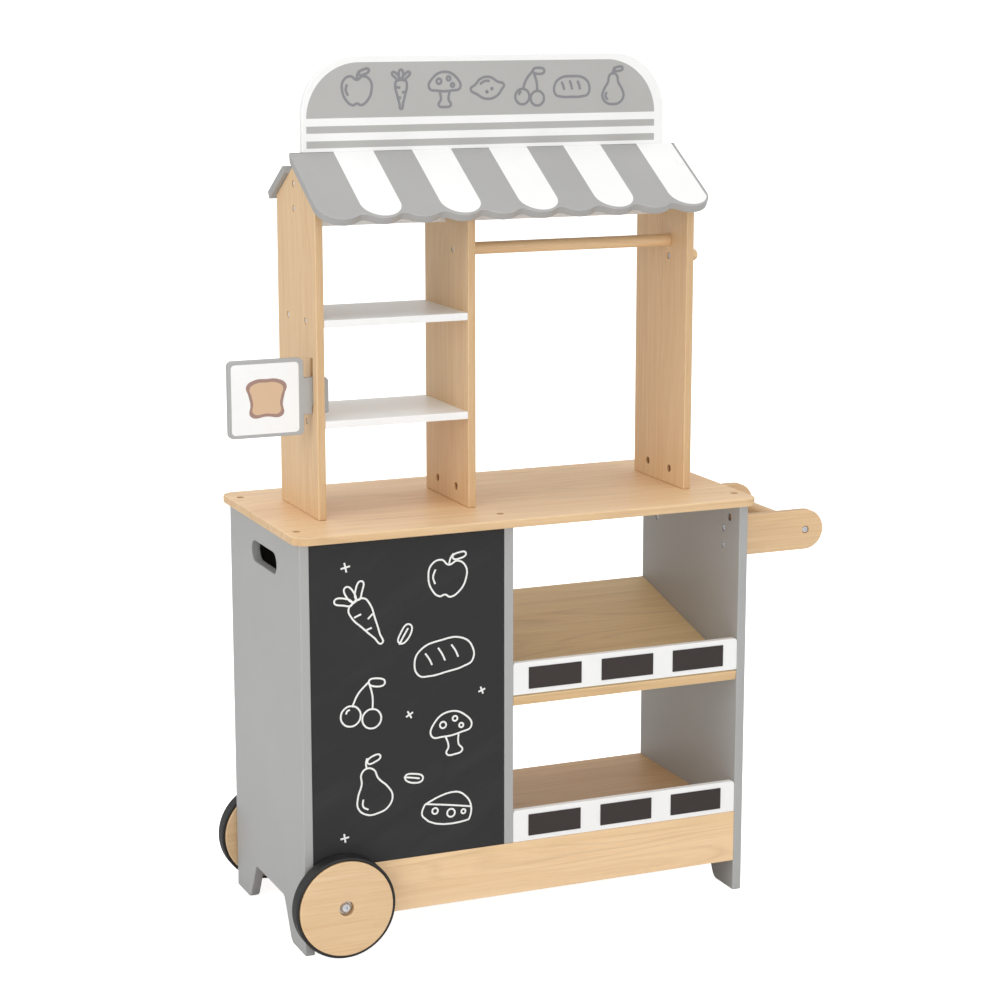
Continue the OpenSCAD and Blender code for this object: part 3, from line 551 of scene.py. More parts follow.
def chalk_line(n, shader, tones):
    """Chalk that catches on the board's grain."""
    grit = n.noise(n.place(), 900.0)
    face = n.mix(n.remap(grit, 0.30, 0.46, 0.72, 1.0), rgba(tones.board), rgba(tones.chalk))
    rough = n.remap(grit, 0.3, 0.7, 0.85, 1.0)
    lay(n, shader, face, rough, grit, RELIEF["chalk"], Specular_IOR_Level=0.1)


def tyre_rubber(n, shader, tones):
    """Matt rubber with a fine moulded skin and a little floor dust."""
    where = n.place()
    skin = n.noise(where, 1100.0)
    dust = n.remap(n.noise(where, 60.0, detail=4.0, roughness=0.6), 0.45, 0.8, 0.0, 0.06)
    face = n.mix(dust, rgba(tones.rubber), rgba(tones.dust))
    lay(n, shader, face, n.remap(skin, 0.3, 0.7, 0.5, 0.66), skin, RELIEF["rubber"])


def metal(n, shader, tones, tone, metallic):
    """Plated metal of one tone."""
    coat = n.use(turned_metal, Vector=n.place(), Color=rgba(getattr(tones, tone)))
    lay(n, shader, coat["Color"], coat["Roughness"], coat["Height"], RELIEF["metal"], Metallic=metallic)


# How each finish is made, and its settings. A wood has its tone, the way of its grain, the strength of its
# bands and lines, the shift of its pattern and the tint of its narrow edges, painted shade that darkens them
# (the bottom board's tint gives them the counter's tone). A paint has its tone and roughness, and a metal its
# tone and how metallic it is.
FINISHES = {
    "counter wood": (wooden, "counter", "X", 0.5, 0.5),
    "upright wood": (wooden, "upright", "Z", 0.3, 0.2, 3.1),
    "shelf wood": (wooden, "shelf", "X", 0.5, 0.5, 1.7, (0.90, 0.79, 0.71)),
    "base wood": (wooden, "base", "X", 0.5, 0.6, 6.1, (1.25, 1.38, 1.52)),
    "wheel wood": (wooden, "upright", "X", 0.3, 0.1, 5.3),
    "rail wood": (wooden, "upright", "X", 0.35, 0.3, 7.9, (1.0, 1.0, 1.0)),
    "bar wood": (wooden, "upright", "Y", 0.35, 0.3, 2.3, (1.0, 1.0, 1.0)),
    "arm wood": (wooden, "upright", "X", 0.35, 0.3, 9.7),
    "dowel wood": (wooden, "upright", "X", 0.3, 0.2, 4.1),
    "grey paint": (painted, "grey"),
    "rear awning paint": (painted, "awning_grey"),
    "white paint": (painted, "white", 0.30),
    "header paint": (header_print,),
    "awning paint": (awning_print,),
    "flag paint": (flag_print,),
    "grey ink": (painted, "ink", 0.45),
    "chalkboard paint": (chalkboard_paint,),
    "chalk": (chalk_line,),
    "label film": (painted, "label", 0.38),
    "rubber": (tyre_rubber,),
    "steel": (metal, "steel", 0.8),
    "screw steel": (metal, "screw", 0.35),
    "bronze": (metal, "bronze", 0.8),
    "crust print": (painted, "crust", 0.42),
    "crumb print": (painted, "crumb", 0.42),
}


def finish(name):
    """The material of that name, made when it is first asked for."""
    material = bpy.data.materials.get(name)
    if not material:
        material, n, shader = blank(name)
        make, *settings = FINISHES[name]
        make(n, shader, bpy.context.scene.stall_colours, *settings)
    return material


# Shaping


def placed(name, data):
    """A new object in the scene."""
    piece = bpy.data.objects.new(name, data)
    bpy.context.scene.collection.objects.link(piece)
    return piece


def stored(name, bm):
    """A shape kept as a mesh. The shape is freed."""
    mesh = bpy.data.meshes.new(name)
    bm.to_mesh(mesh)
    bm.free()
    return mesh


def taken(bm, mesh):
    """Adds a mesh to a shape and removes the mesh."""
    bm.from_mesh(mesh)
    bpy.data.meshes.remove(mesh)
    return bm


def worked_out(piece):
    """The shape of an object once its modifiers, or its curve, have been worked out."""
    graph = bpy.context.evaluated_depsgraph_get()
    return taken(bmesh.new(), bpy.data.meshes.new_from_object(piece.evaluated_get(graph)))


def start():
    """An empty shape that can mark rounded edges."""
    bm = bmesh.new()
    bm.verts.layers.float.new("edge")
    return bm


def board(low, high, matrix=Matrix()):
    """A square board between two corners."""
    bm = start()
    size = Matrix.Diagonal((*(high - low), 1.0))
    bmesh.ops.create_cube(bm, size=1.0, matrix=matrix @ Matrix.Translation((low + high) / 2) @ size)
    return bm


def pointed(place, way):
    """A matrix that brings upright things to a place and turns them to a direction."""
    return Matrix.Translation(place) @ UP.rotation_difference(way).to_matrix().to_4x4()


def rod(first, last, diameter, segments=48):
    """A round rod between two points."""
    bm = start()
    way, radius = last - first, diameter / 2
    bmesh.ops.create_cone(
        bm, cap_ends=True, segments=segments, radius1=radius, radius2=radius, depth=way.length,
        matrix=pointed((first + last) / 2, way),
    )
    return bm


def outline(bm, points):
    """A flat face through a few corners."""
    return bm.faces.new([bm.verts.new(p) for p in points])


def bevel(bm, parts, radius, segments, kind="EDGES"):
    """Rounds edges or corners."""
    return bmesh.ops.bevel(
        bm, geom=list(parts), offset=radius, offset_type="OFFSET", segments=segments, profile=0.5,
        affect=kind, material=-1, clamp_overlap=False,
    )


def round_corner(bm, vert, radius, segments=7):
    """Rounds one corner of a flat outline to a radius."""
    ends = [e.other_vert(vert).co - vert.co for e in vert.link_edges]
    bevel(bm, [vert], radius / math.tan(ends[0].angle(ends[1]) / 2), segments, "VERTICES")


def thicken(bm, way):
    """Gives flat faces their thickness."""
    made = bmesh.ops.extrude_face_region(bm, geom=bm.faces[:])
    moved = [v for v in made["geom"] if isinstance(v, bmesh.types.BMVert)]
    bmesh.ops.translate(bm, vec=way, verts=moved)
    bmesh.ops.recalc_face_normals(bm, faces=bm.faces)


def corner_edges(bm, axis, side=None):
    """A board's edges that run along an axis, or those of them that lie to one side."""
    edges = [e for e in bm.edges if abs((e.verts[0].co - e.verts[1].co).normalized().dot(axis)) > ALIGNED]
    if not side:
        return edges
    middle = sum(e.verts[0].co.dot(side) for e in edges) / len(edges)
    return [e for e in edges if e.verts[0].co.dot(side) > middle]


def sharp_edges(bm):
    """The edges between faces that meet at a sharp angle."""
    bm.normal_update()
    return [e for e in bm.edges if e.is_manifold and e.calc_face_angle() > SHARP]


def ease(bm, radius, segments=3):
    """Rounds every sharp edge and marks the rounded strips."""
    mark = bm.verts.layers.float["edge"]
    made = bevel(bm, sharp_edges(bm), radius, segments)
    strips = set(made["faces"])
    for vert in made["verts"]:
        vert[mark] = 1.0 if strips.issuperset(vert.link_faces) else 0.0
    return bm


def bar(node, axis, radius, segments=3):
    """A round bar with rounded ends that fills a node's box along an axis."""
    low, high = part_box(node)
    middle, reach = (low + high) / 2, axis * (high - low).dot(axis) / 2
    return ease(rod(middle - reach, middle + reach, high.z - low.z), radius, segments)


def lathe(profile, middle, axis, steps=72):
    """Spins a closed profile of radii and heights about an axis."""
    bm = start()
    verts = [bm.verts.new((radius, 0, height)) for radius, height in profile]
    edges = [bm.edges.new((a, b)) for a, b in zip(verts, verts[1:] + verts[:1])]
    bmesh.ops.spin(
        bm, geom=verts + edges, cent=(0, 0, 0), axis=UP, angle=math.tau, steps=steps, use_merge=True,
        use_duplicate=False,
    )
    bmesh.ops.remove_doubles(bm, verts=bm.verts, dist=WELD)
    bmesh.ops.transform(bm, matrix=pointed(middle, axis), verts=bm.verts)
    bmesh.ops.recalc_face_normals(bm, faces=bm.faces)
    return bm


def drill(bm, holes):
    """Cuts round holes. Each has a mouth, a direction into the board, a depth and a diameter."""
    bits = bmesh.new()
    for mouth, way, depth, diameter in holes:
        taken(bits, stored("bit", rod(mouth - way * DRILL_LEAD, mouth + way * depth, diameter, segments=32)))
    piece, tool = placed("blank", stored("blank", bm)), placed("bits", stored("bits", bits))
    cut = piece.modifiers.new("Holes", "BOOLEAN")
    cut.object, cut.operation, cut.solver = tool, "DIFFERENCE", "EXACT"
    made = worked_out(piece)
    for used in (piece, tool):
        bpy.data.meshes.remove(used.data)
    return made


def islands(node):
    """The points of each separate solid of a node."""
    bm = bmesh.new()
    bm.from_mesh(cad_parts[node].data)
    bmesh.ops.remove_doubles(bm, verts=bm.verts, dist=WELD)
    waiting, found = set(bm.verts), []
    while waiting:
        reach = [waiting.pop()]
        for vert in reach:
            near = {e.other_vert(vert) for e in vert.link_edges} & waiting
            waiting -= near
            reach.extend(near)
        found.append([v.co.copy() for v in reach])
    bm.free()
    return found


def solids(node):
    """The lowest and highest corner of each separate solid of a node."""
    return [
        tuple(Vector([pick(p[i] for p in points) for i in range(3)]) for pick in (min, max))
        for points in islands(node)
    ]


def flush_holes(node, way, sizes):
    """Shallow holes for the flush heads of a node's screws that face against a direction."""
    holes = []
    for points in islands(node):
        top = min(p.dot(way) for p in points)
        rim = [p for p in points if p.dot(way) < top + ALIKE]
        if len(rim) > 2:
            holes.append((sum(rim, Vector()) / len(rim), way, sizes.flush_sink, sizes.flush_hole))
    return holes


def sunk_holes(node, way, fasteners, depth, diameter):
    """Holes that enter a board along a direction, where fasteners sit just below its face."""
    low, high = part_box(node)
    axis = max(range(3), key=lambda i: abs(way[i]))
    into = way[axis] > 0
    face = (low if into else high)[axis]
    holes = []
    for first, last in (solid for name in fasteners for solid in solids(name)):
        mouth = (first + last) / 2
        mouth[axis] = face
        sunk = (first if into else last)[axis] - face
        inside = all(low[i] < mouth[i] < high[i] for i in range(3) if i != axis)
        if inside and 0 <= sunk * way[axis] < DEEPEST_HEAD:
            holes.append((mouth, way, depth, diameter))
    return holes


def board_holes(node, nut_way, sizes):
    """All the screw holes and barrel nut holes in a board's two broad sides."""
    low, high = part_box(node)
    screws = ("tower_shelf_screws", "sign_screws", "rail_screws", "peg_screw", "handle_arm_screws")
    nuts = ("counter_barrel_nuts", "upright_barrel_nuts")
    holes = sunk_holes(node, nut_way, nuts, high.x - low.x - sizes.nut_wall, sizes.nut_hole)
    for way in (LEFT, RIGHT):
        holes += sunk_holes(node, way, screws, sizes.head_sink, sizes.head_hole)
    return holes


def mark_cuts(bm):
    """Marks the narrow faces round a board, which wood finishes tint as painted shade."""
    spans = [max(v.co[i] for v in bm.verts) - min(v.co[i] for v in bm.verts) for i in range(3)]
    thin = spans.index(min(spans))
    layer = bm.faces.layers.float.new("cut")
    for face in bm.faces:
        face[layer] = float(abs(face.normal[thin]) < CUT_FACING)


def keep(bm, name, material, slot, *nodes, body="stall"):
    """Turns a shape into a finished piece that rides on a body and stands for its nodes."""
    bmesh.ops.recalc_face_normals(bm, faces=bm.faces)
    mark_cuts(bm)
    for edge in sharp_edges(bm):
        edge.smooth = False
    for face in bm.faces:
        face.smooth = True
    piece = placed(name, stored(name, bm))
    piece.data.materials.append(finish(material))
    piece.modifiers.new("Even shading", "WEIGHTED_NORMAL").keep_sharp = True
    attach(piece, body)
    if nodes:
        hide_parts(*nodes)


def tilted_board(node, tilt, thick):
    """A board of a thickness that fills a node's box at a tilt about X."""
    low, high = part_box(node)
    half = Vector((high.x - low.x, slope_length(node, tilt, thick), thick)) / 2
    return board(-half, half, Matrix.Translation((low + high) / 2) @ Matrix.Rotation(tilt, 4, "X"))


def panel(node, radius):
    """The box of a node as a board with rounded edges."""
    return ease(board(*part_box(node)), radius)


# Pictures: simple fruit and market goods, each in strokes about its own middle


def ring(x, y, radius, count=8):
    """A round stroke."""
    turns = [math.tau * i / count for i in range(count)]
    return True, [(x + radius * math.cos(a), y + radius * math.sin(a)) for a in turns]


def both_sides(points):
    """A closed stroke from its right half, from the top down."""
    return True, points + [(-x, y) for x, y in reversed(points) if x]


PICTURES = {
    "apple": [
        both_sides([
            (0, 0.26), (0.17, 0.35), (0.36, 0.25), (0.40, 0.0), (0.28, -0.27), (0.11, -0.38), (0, -0.34),
        ]),
        (False, [(0, 0.26), (0.02, 0.40), (0.07, 0.49)]),
        (True, [(0.06, 0.41), (0.19, 0.52), (0.33, 0.51), (0.22, 0.40)]),
        (False, [(-0.27, 0.15), (-0.30, 0.0), (-0.24, -0.14)]),
    ],
    "carrot": [
        both_sides([(0, 0.24), (0.13, 0.21), (0.16, 0.08), (0.11, -0.14), (0.05, -0.36), (0, -0.50)]),
        (False, [(-0.13, 0.06), (-0.02, 0.04)]),
        (False, [(0.12, -0.06), (0.02, -0.08)]),
        (False, [(-0.08, -0.20), (0.0, -0.22)]),
        (True, [(0, 0.25), (-0.06, 0.37), (0, 0.50), (0.06, 0.37)]),
        (True, [(-0.05, 0.24), (-0.16, 0.30), (-0.24, 0.43), (-0.10, 0.38)]),
        (True, [(0.05, 0.24), (0.16, 0.30), (0.24, 0.43), (0.10, 0.38)]),
    ],
    "cherries": [
        ring(-0.22, -0.24, 0.20),
        ring(0.21, -0.29, 0.19),
        (False, [(-0.21, -0.06), (-0.11, 0.20), (0.08, 0.43)]),
        (False, [(0.21, -0.12), (0.18, 0.16), (0.08, 0.43)]),
        (True, [(0.08, 0.43), (0.24, 0.50), (0.41, 0.42), (0.23, 0.34)]),
        (False, [(-0.32, -0.20), (-0.30, -0.14), (-0.25, -0.11)]),
    ],
    "pear": [
        both_sides([
            (0, 0.33), (0.11, 0.27), (0.15, 0.10), (0.27, -0.10), (0.31, -0.28), (0.19, -0.44), (0, -0.48),
        ]),
        (False, [(0, 0.33), (0.01, 0.42), (0.05, 0.50)]),
        (True, [(0.04, 0.42), (0.16, 0.50), (0.28, 0.46), (0.16, 0.39)]),
        (False, [(-0.19, -0.16), (-0.22, -0.28), (-0.15, -0.36)]),
    ],
    "mushroom": [
        (True, [
            (-0.43, 0.02), (-0.34, 0.27), (0, 0.43), (0.34, 0.27), (0.43, 0.02), (0.2, -0.05), (-0.2, -0.05),
        ]),
        (False, [
            (-0.14, -0.05), (-0.11, -0.28), (-0.17, -0.42), (0, -0.47), (0.17, -0.42), (0.11, -0.28),
            (0.14, -0.05),
        ]),
        ring(-0.16, 0.19, 0.065),
        ring(0.11, 0.26, 0.05),
        ring(0.22, 0.09, 0.045),
    ],
    "loaf": [
        (True, [
            (-0.47, -0.20), (-0.50, 0.04), (-0.36, 0.21), (0, 0.27), (0.36, 0.21), (0.50, 0.04),
            (0.47, -0.20), (0.30, -0.26), (0, -0.27), (-0.30, -0.26),
        ]),
        (False, [(-0.30, 0.13), (-0.25, 0.02), (-0.22, -0.09)]),
        (False, [(-0.07, 0.16), (-0.02, 0.04), (0.01, -0.08)]),
        (False, [(0.16, 0.15), (0.21, 0.04), (0.24, -0.08)]),
    ],
    "lemon": [
        (True, [
            (-0.48, -0.02), (-0.36, 0.08), (-0.20, 0.24), (0.06, 0.28), (0.28, 0.16), (0.46, 0.08),
            (0.40, -0.04), (0.24, -0.22), (-0.04, -0.28), (-0.30, -0.16),
        ]),
        (False, [(-0.22, 0.10), (-0.08, 0.18), (0.06, 0.18)]),
        ring(0.12, -0.02, 0.015, 4),
        ring(-0.02, -0.10, 0.015, 4),
    ],
    "cheese": [
        (True, [
            (-0.46, -0.24), (-0.46, -0.02), (-0.44, 0.0), (0.1, 0.26), (0.3, 0.20), (0.45, 0.02),
            (0.46, -0.22), (0.44, -0.25),
        ]),
        (False, [(-0.45, 0.0), (0.0, 0.005), (0.45, 0.0)]),
        ring(-0.24, -0.12, 0.055),
        ring(0.08, -0.14, 0.075),
        ring(0.32, -0.10, 0.04),
    ],
    "leaf": [
        (True, [(-0.42, -0.30), (-0.20, 0.14), (0.40, 0.36), (0.20, -0.18)]),
        (False, [(-0.46, -0.36), (-0.05, -0.02), (0.26, 0.22)]),
    ],
    "spark": [
        (False, [(0, -0.42), (0, 0.42)]),
        (False, [(-0.42, 0), (0.42, 0)]),
    ],
}
# The outline of the flag sign's slice of bread
SLICE = both_sides([
    (0, 0.40), (0.24, 0.39), (0.42, 0.27), (0.38, 0.08), (0.34, -0.10), (0.34, -0.34), (0, -0.36),
])


def traced(strokes, **settings):
    """A shape drawn along smooth strokes, each closed or open, by a curve with some settings."""
    curve = bpy.data.curves.new("strokes", "CURVE")
    for key, value in settings.items():
        setattr(curve, key, value)
    for closed, points in strokes:
        spline = curve.splines.new("BEZIER")
        spline.bezier_points.add(len(points) - 1)
        spline.use_cyclic_u = closed
        for knot, point in zip(spline.bezier_points, points):
            knot.co = point
            knot.handle_left_type = knot.handle_right_type = "AUTO"
    bm = worked_out(placed("strokes", curve))
    bpy.data.curves.remove(curve)
    return bm


def stuck(bm, place, depth, squeeze=1.0):
    """Stands a flat drawing upright on a front face, squeezed to its depth."""
    upright = Matrix.Translation(place + FRONT * depth / 2) @ Matrix.Rotation(math.pi / 2, 4, "X")
    bmesh.ops.transform(bm, matrix=upright @ Matrix.Diagonal((1, 1, squeeze, 1)), verts=bm.verts)
    bmesh.ops.remove_doubles(bm, verts=bm.verts, dist=WELD)
    return bm


def line_art(plan, width, corner, depth):
    """Pictures in lines of a width and a depth, on the front face whose lower left corner is given.

    Each row of the plan has a picture, its place from that corner, its size and its tilt in degrees.
    """
    strokes = []
    for picture, x, y, size, tilt in plan:
        turn = Matrix.Rotation(math.radians(tilt), 4, "Z") @ Matrix.Scale(size, 4)
        for layer, (closed, points) in enumerate(PICTURES[picture]):
            middle = Vector((x, y, layer * width / 2 * STROKE_LIFT))
            strokes.append((closed, [middle + turn @ Vector((*point, 0)) for point in points]))
    bm = traced(
        strokes, dimensions="3D", resolution_u=7, bevel_depth=width / 2, bevel_resolution=1,
        use_fill_caps=True,
    )
    return stuck(bm, corner, depth, depth / width)


# Operators


class StallStep(Operator):
    """A step that builds pieces of the stall"""

    bl_idname = "stall.step"
    bl_label = "Stall step"
    bl_options = {"REGISTER", "INTERNAL"}

    def execute(self, context):
        self.build(context.scene.stall_sizes)
        return {"FINISHED"}

    def build(self, sizes):
        raise RuntimeError("each step of the stall builds its own pieces")


class StallSidePanels(StallStep):
    """Builds the two side panels, the left one with its hand hole"""

    bl_idname = "stall.side_panels"
    bl_label = "Side panels"

    def build(self, sizes):
        for side, outer in (("left", LEFT), ("right", RIGHT)):
            node = f"{side}_side_panel"
            low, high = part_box(node)
            bm = start()
            corners = [(bm.verts.new((low.x, y, z)), r) for y, z, r in self.lower_edge(low, high, sizes)]
            lower = [vert for vert, _ in corners]
            upper = [bm.verts.new((low.x, y, high.z)) for y in (low.y, high.y)]
            if side == "left":
                self.face_with_hole(bm, lower, upper, low, high, sizes)
            else:
                bm.faces.new(lower + upper)
            for vert, radius in corners:
                if radius:
                    round_corner(bm, vert, radius)
            thicken(bm, RIGHT * (high.x - low.x))
            bm = drill(ease(bm, sizes.board_round), board_holes(node, outer, sizes))
            keep(bm, f"{side}_panel", "grey paint", "grey_paint", node)

    def lower_edge(self, low, high, sizes):
        """The corners of a side panel's lower edge, from back to front, with their roundings."""
        foot, arch = sizes.foot_length, sizes.arch_height
        inner = foot + arch * math.tan(sizes.arch_lean)
        return [
            (high.y, 0, 0), (high.y - foot, 0, sizes.foot_round), (high.y - inner, arch, sizes.arch_round),
            (low.y + inner, arch, sizes.arch_round), (low.y + foot, 0, sizes.foot_round), (low.y, 0, 0),
        ]

    def face_with_hole(self, bm, lower, upper, low, high, sizes):
        """Two flat faces that meet in front of and behind a hand hole with round ends."""
        middle_y, middle_z = (low.y + high.y) / 2, high.z - sizes.hole_drop
        turn = Matrix(((0, 0, 1, low.x), (0, 1, 0, middle_y), (1, 0, 0, middle_z), (0, 0, 0, 1)))
        made = bmesh.ops.create_circle(bm, segments=30, radius=sizes.hole_height / 2, matrix=turn)["verts"]
        reach = (sizes.hole_length - sizes.hole_height) / 2
        for sign in (-1, 1):
            half = [v for v in made if (v.co.y - middle_y) * sign > 0]
            bmesh.ops.translate(bm, vec=BACK * reach * sign, verts=half)
        made.sort(key=lambda v: v.co.y)
        above = [v for v in made if v.co.z > middle_z + ALIKE]
        below = [v for v in made if v.co.z < middle_z - ALIKE]
        first, last = (bm.verts.new((low.x, y, middle_z)) for y in (low.y, high.y))
        near, far = made[0], made[-1]
        bm.faces.new([first, *upper, last, far, *above[::-1], near])
        bm.faces.new([first, near, *below, far, last, *lower])


class StallCountertop(StallStep):
    """Builds the countertop with its six sunk bolt holes"""

    bl_idname = "stall.countertop"
    bl_label = "Countertop"

    def build(self, sizes):
        bm = board(*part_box("countertop"))
        bevel(bm, corner_edges(bm, UP), sizes.counter_corner, segments=8)
        holes = sunk_holes("countertop", -UP, ["counter_bolts"], sizes.bolt_sink, sizes.bolt_hole)
        bm = drill(ease(bm, sizes.counter_round, segments=4), holes)
        keep(bm, "counter_board", "counter wood", "light_wood", "countertop")


class StallCabinetBoards(StallStep):
    """Builds the divider, the rear panel, the plinths, the bottom board and the sloped shelf"""

    bl_idname = "stall.cabinet_boards"
    bl_label = "Cabinet boards"

    def build(self, sizes):
        divider = panel("centre_divider", sizes.thin_round)
        divider = drill(divider, board_holes("centre_divider", LEFT, sizes))
        keep(divider, "divider_board", "grey paint", "grey_paint", "centre_divider")
        for node, name, material, slot, radius in (
            ("rear_panel", "rear_board", "grey paint", "grey_paint", sizes.thin_round),
            ("front_plinth", "front_plinth_board", "counter wood", "light_wood", sizes.seam_round),
            ("rear_plinth", "rear_plinth_board", "counter wood", "light_wood", sizes.seam_round),
            ("bottom_board", "floor_board", "base wood", "light_wood", sizes.seam_round),
        ):
            keep(panel(node, radius), name, material, slot, node)
        shelf = tilted_board("sloped_shelf", sizes.shelf_tilt, sizes.shelf_board)
        keep(ease(shelf, sizes.thin_round), "sloped_board", "shelf wood", "light_wood", "sloped_shelf")


class StallChalkboard(StallStep):
    """Builds the chalkboard and the chalk drawings on it"""

    bl_idname = "stall.chalkboard"
    bl_label = "Chalkboard"

    # Each picture's place in shares of the board's width and height, its size in mm and its tilt in degrees
    plan = (
        ("apple", 0.70, 0.86, 60, -8), ("carrot", 0.27, 0.77, 84, 32), ("loaf", 0.68, 0.62, 74, 10),
        ("cherries", 0.26, 0.50, 62, -6), ("mushroom", 0.72, 0.38, 60, 8), ("pear", 0.30, 0.24, 72, 14),
        ("cheese", 0.70, 0.15, 66, -10), ("leaf", 0.48, 0.70, 24, 20), ("spark", 0.18, 0.92, 14, 12),
        ("spark", 0.50, 0.45, 12, 30), ("leaf", 0.52, 0.25, 22, -50), ("spark", 0.16, 0.09, 13, 8),
        ("spark", 0.88, 0.50, 11, 20),
    )

    def build(self, sizes):
        bm = panel("chalkboard_panel", sizes.chalkboard_round)
        keep(bm, "chalkboard", "chalkboard paint", "chalkboard", "chalkboard_panel")
        low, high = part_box("chalkboard_panel")
        wide, _, tall = high - low
        plan = [(picture, x * wide, y * tall, size * MM, tilt) for picture, x, y, size, tilt in self.plan]
        bm = line_art(plan, sizes.chalk_line, low, sizes.chalk_depth)
        keep(bm, "chalk_drawings", "chalk", "chalkboard")


class StallFences(StallStep):
    """Builds the two shelf fences and the price labels on them"""

    bl_idname = "stall.fences"
    bl_label = "Fences and labels"

    def build(self, sizes):
        for level in ("upper", "lower"):
            node = f"{level}_fence"
            fence = board(*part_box(node))
            bevel(fence, corner_edges(fence, BACK, UP), sizes.fence_corner, segments=6)
            keep(ease(fence, sizes.thin_round), f"{node}_board", "white paint", "white_paint", node)
            labels = start()
            for corners in solids(f"{level}_price_labels"):
                label = board(*corners)
                bevel(label, corner_edges(label, BACK), sizes.label_corner, segments=4)
                taken(labels, stored("label", ease(label, sizes.label_round, segments=2)))
            keep(labels, f"{level}_labels", "label film", "label_film", f"{level}_price_labels")


class StallUprights(StallStep):
    """Builds the three gabled uprights with their slots and screw holes"""

    bl_idname = "stall.uprights"
    bl_label = "Uprights"

    def build(self, sizes):
        for side, outer in (("left", LEFT), ("middle", RIGHT), ("right", RIGHT)):
            node = f"{side}_upright"
            low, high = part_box(node)
            ridge = (low.y + high.y) / 2
            eave = high.z - (high.y - low.y) / 2 * math.tan(sizes.roof_pitch)
            front, back = [(low.y, eave), (low.y, low.z)], [(high.y, low.z), (high.y, eave)]
            top = [(ridge, high.z)]
            if side == "middle":
                foot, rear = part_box("header_sign")[0].z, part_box("header_sign")[1].y
                drop = (rear - ridge) * math.tan(sizes.roof_pitch)
                top = [(rear, high.z - drop), (rear, foot), (ridge, foot), (ridge, high.z)]
            bm = start()
            if side == "left":
                self.face_with_slot(bm, low.x, front, back, top, sizes)
            else:
                outline(bm, [(low.x, y, z) for y, z in front + back + top])
            thicken(bm, RIGHT * (high.x - low.x))
            bm = drill(ease(bm, sizes.board_round), board_holes(node, outer, sizes))
            keep(bm, f"{node}_board", "upright wood", "upright_wood", node)

    def face_with_slot(self, bm, x, front, back, top, sizes):
        """Two flat faces that meet in front of and behind the slot of the flag sign."""
        low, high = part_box("flag_sign")
        near, far = low.y - sizes.slot_gap, high.y + sizes.slot_gap
        sill, head = self.slot_levels(x, near, far)
        middle = (sill + head) / 2
        joint = [(near, middle), (far, middle)]
        ends = [(front[0][0], middle), (back[0][0], middle)]
        upper = [ends[0], joint[0], (near, head), (far, head), joint[1], ends[1], back[1], *top, front[0]]
        lower = [ends[0], front[1], back[0], ends[1], joint[1], (far, sill), (near, sill), joint[0]]
        verts = {place: bm.verts.new((x, *place)) for place in dict.fromkeys(upper + lower)}
        for places in (upper, lower):
            bm.faces.new([verts[place] for place in places])

    def slot_levels(self, x, *sides):
        """The sill and the head of the slot, read from the solid upright's outer face."""
        points = [v.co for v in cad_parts["left_upright"].data.vertices if abs(v.co.x - x) < NEAR]
        levels = {round(p.z, 6) for p in points if any(abs(p.y - side) < NEAR for side in sides)}
        if len(levels) < 2:
            raise RuntimeError("the left upright shows no slot for the flag sign")
        return min(levels), max(levels)


class StallTowerShelves(StallStep):
    """Builds the two white tower shelves"""

    bl_idname = "stall.tower_shelves"
    bl_label = "Tower shelves"

    def build(self, sizes):
        for level in ("upper", "lower"):
            node = f"{level}_tower_shelf"
            keep(panel(node, sizes.thin_round), f"{level}_tower_board", "white paint", "white_paint", node)


class StallRailAndPeg(StallStep):
    """Builds the hanging rail and the hanging peg"""

    bl_idname = "stall.rail_and_peg"
    bl_label = "Rail and peg"

    def build(self, sizes):
        for name, radius in (("rail", sizes.bar_round), ("peg", sizes.peg_round)):
            node = f"hanging_{name}"
            keep(bar(node, RIGHT, radius, segments=7), name, "rail wood", "light_wood", node)


class StallHeaderSign(StallStep):
    """Builds the header sign and the row of pictures printed on it"""

    bl_idname = "stall.header_sign"
    bl_label = "Header sign"

    row = ("apple", "carrot", "mushroom", "lemon", "cherries", "loaf", "pear")
    # From one picture to the next, as a share of the sign's width
    pitch_share = 0.118

    def build(self, sizes):
        low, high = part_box("header_sign")
        bm = board(low, high)
        bevel(bm, corner_edges(bm, BACK, UP), sizes.sign_corner, segments=14)
        keep(ease(bm, sizes.thin_round), "header_board", "header paint", "header_paint", "header_sign")
        wide, _, tall = high - low
        level = tall - sizes.field_top - sizes.field_height / 2
        middle = (len(self.row) - 1) / 2
        plan = [
            (picture, wide * (0.5 + (i - middle) * self.pitch_share), level, sizes.picture, 0)
            for i, picture in enumerate(self.row)
        ]
        ink = line_art(plan, sizes.print_line, low, sizes.print_depth)
        keep(ink, "header_pictures", "grey ink", "header_paint")


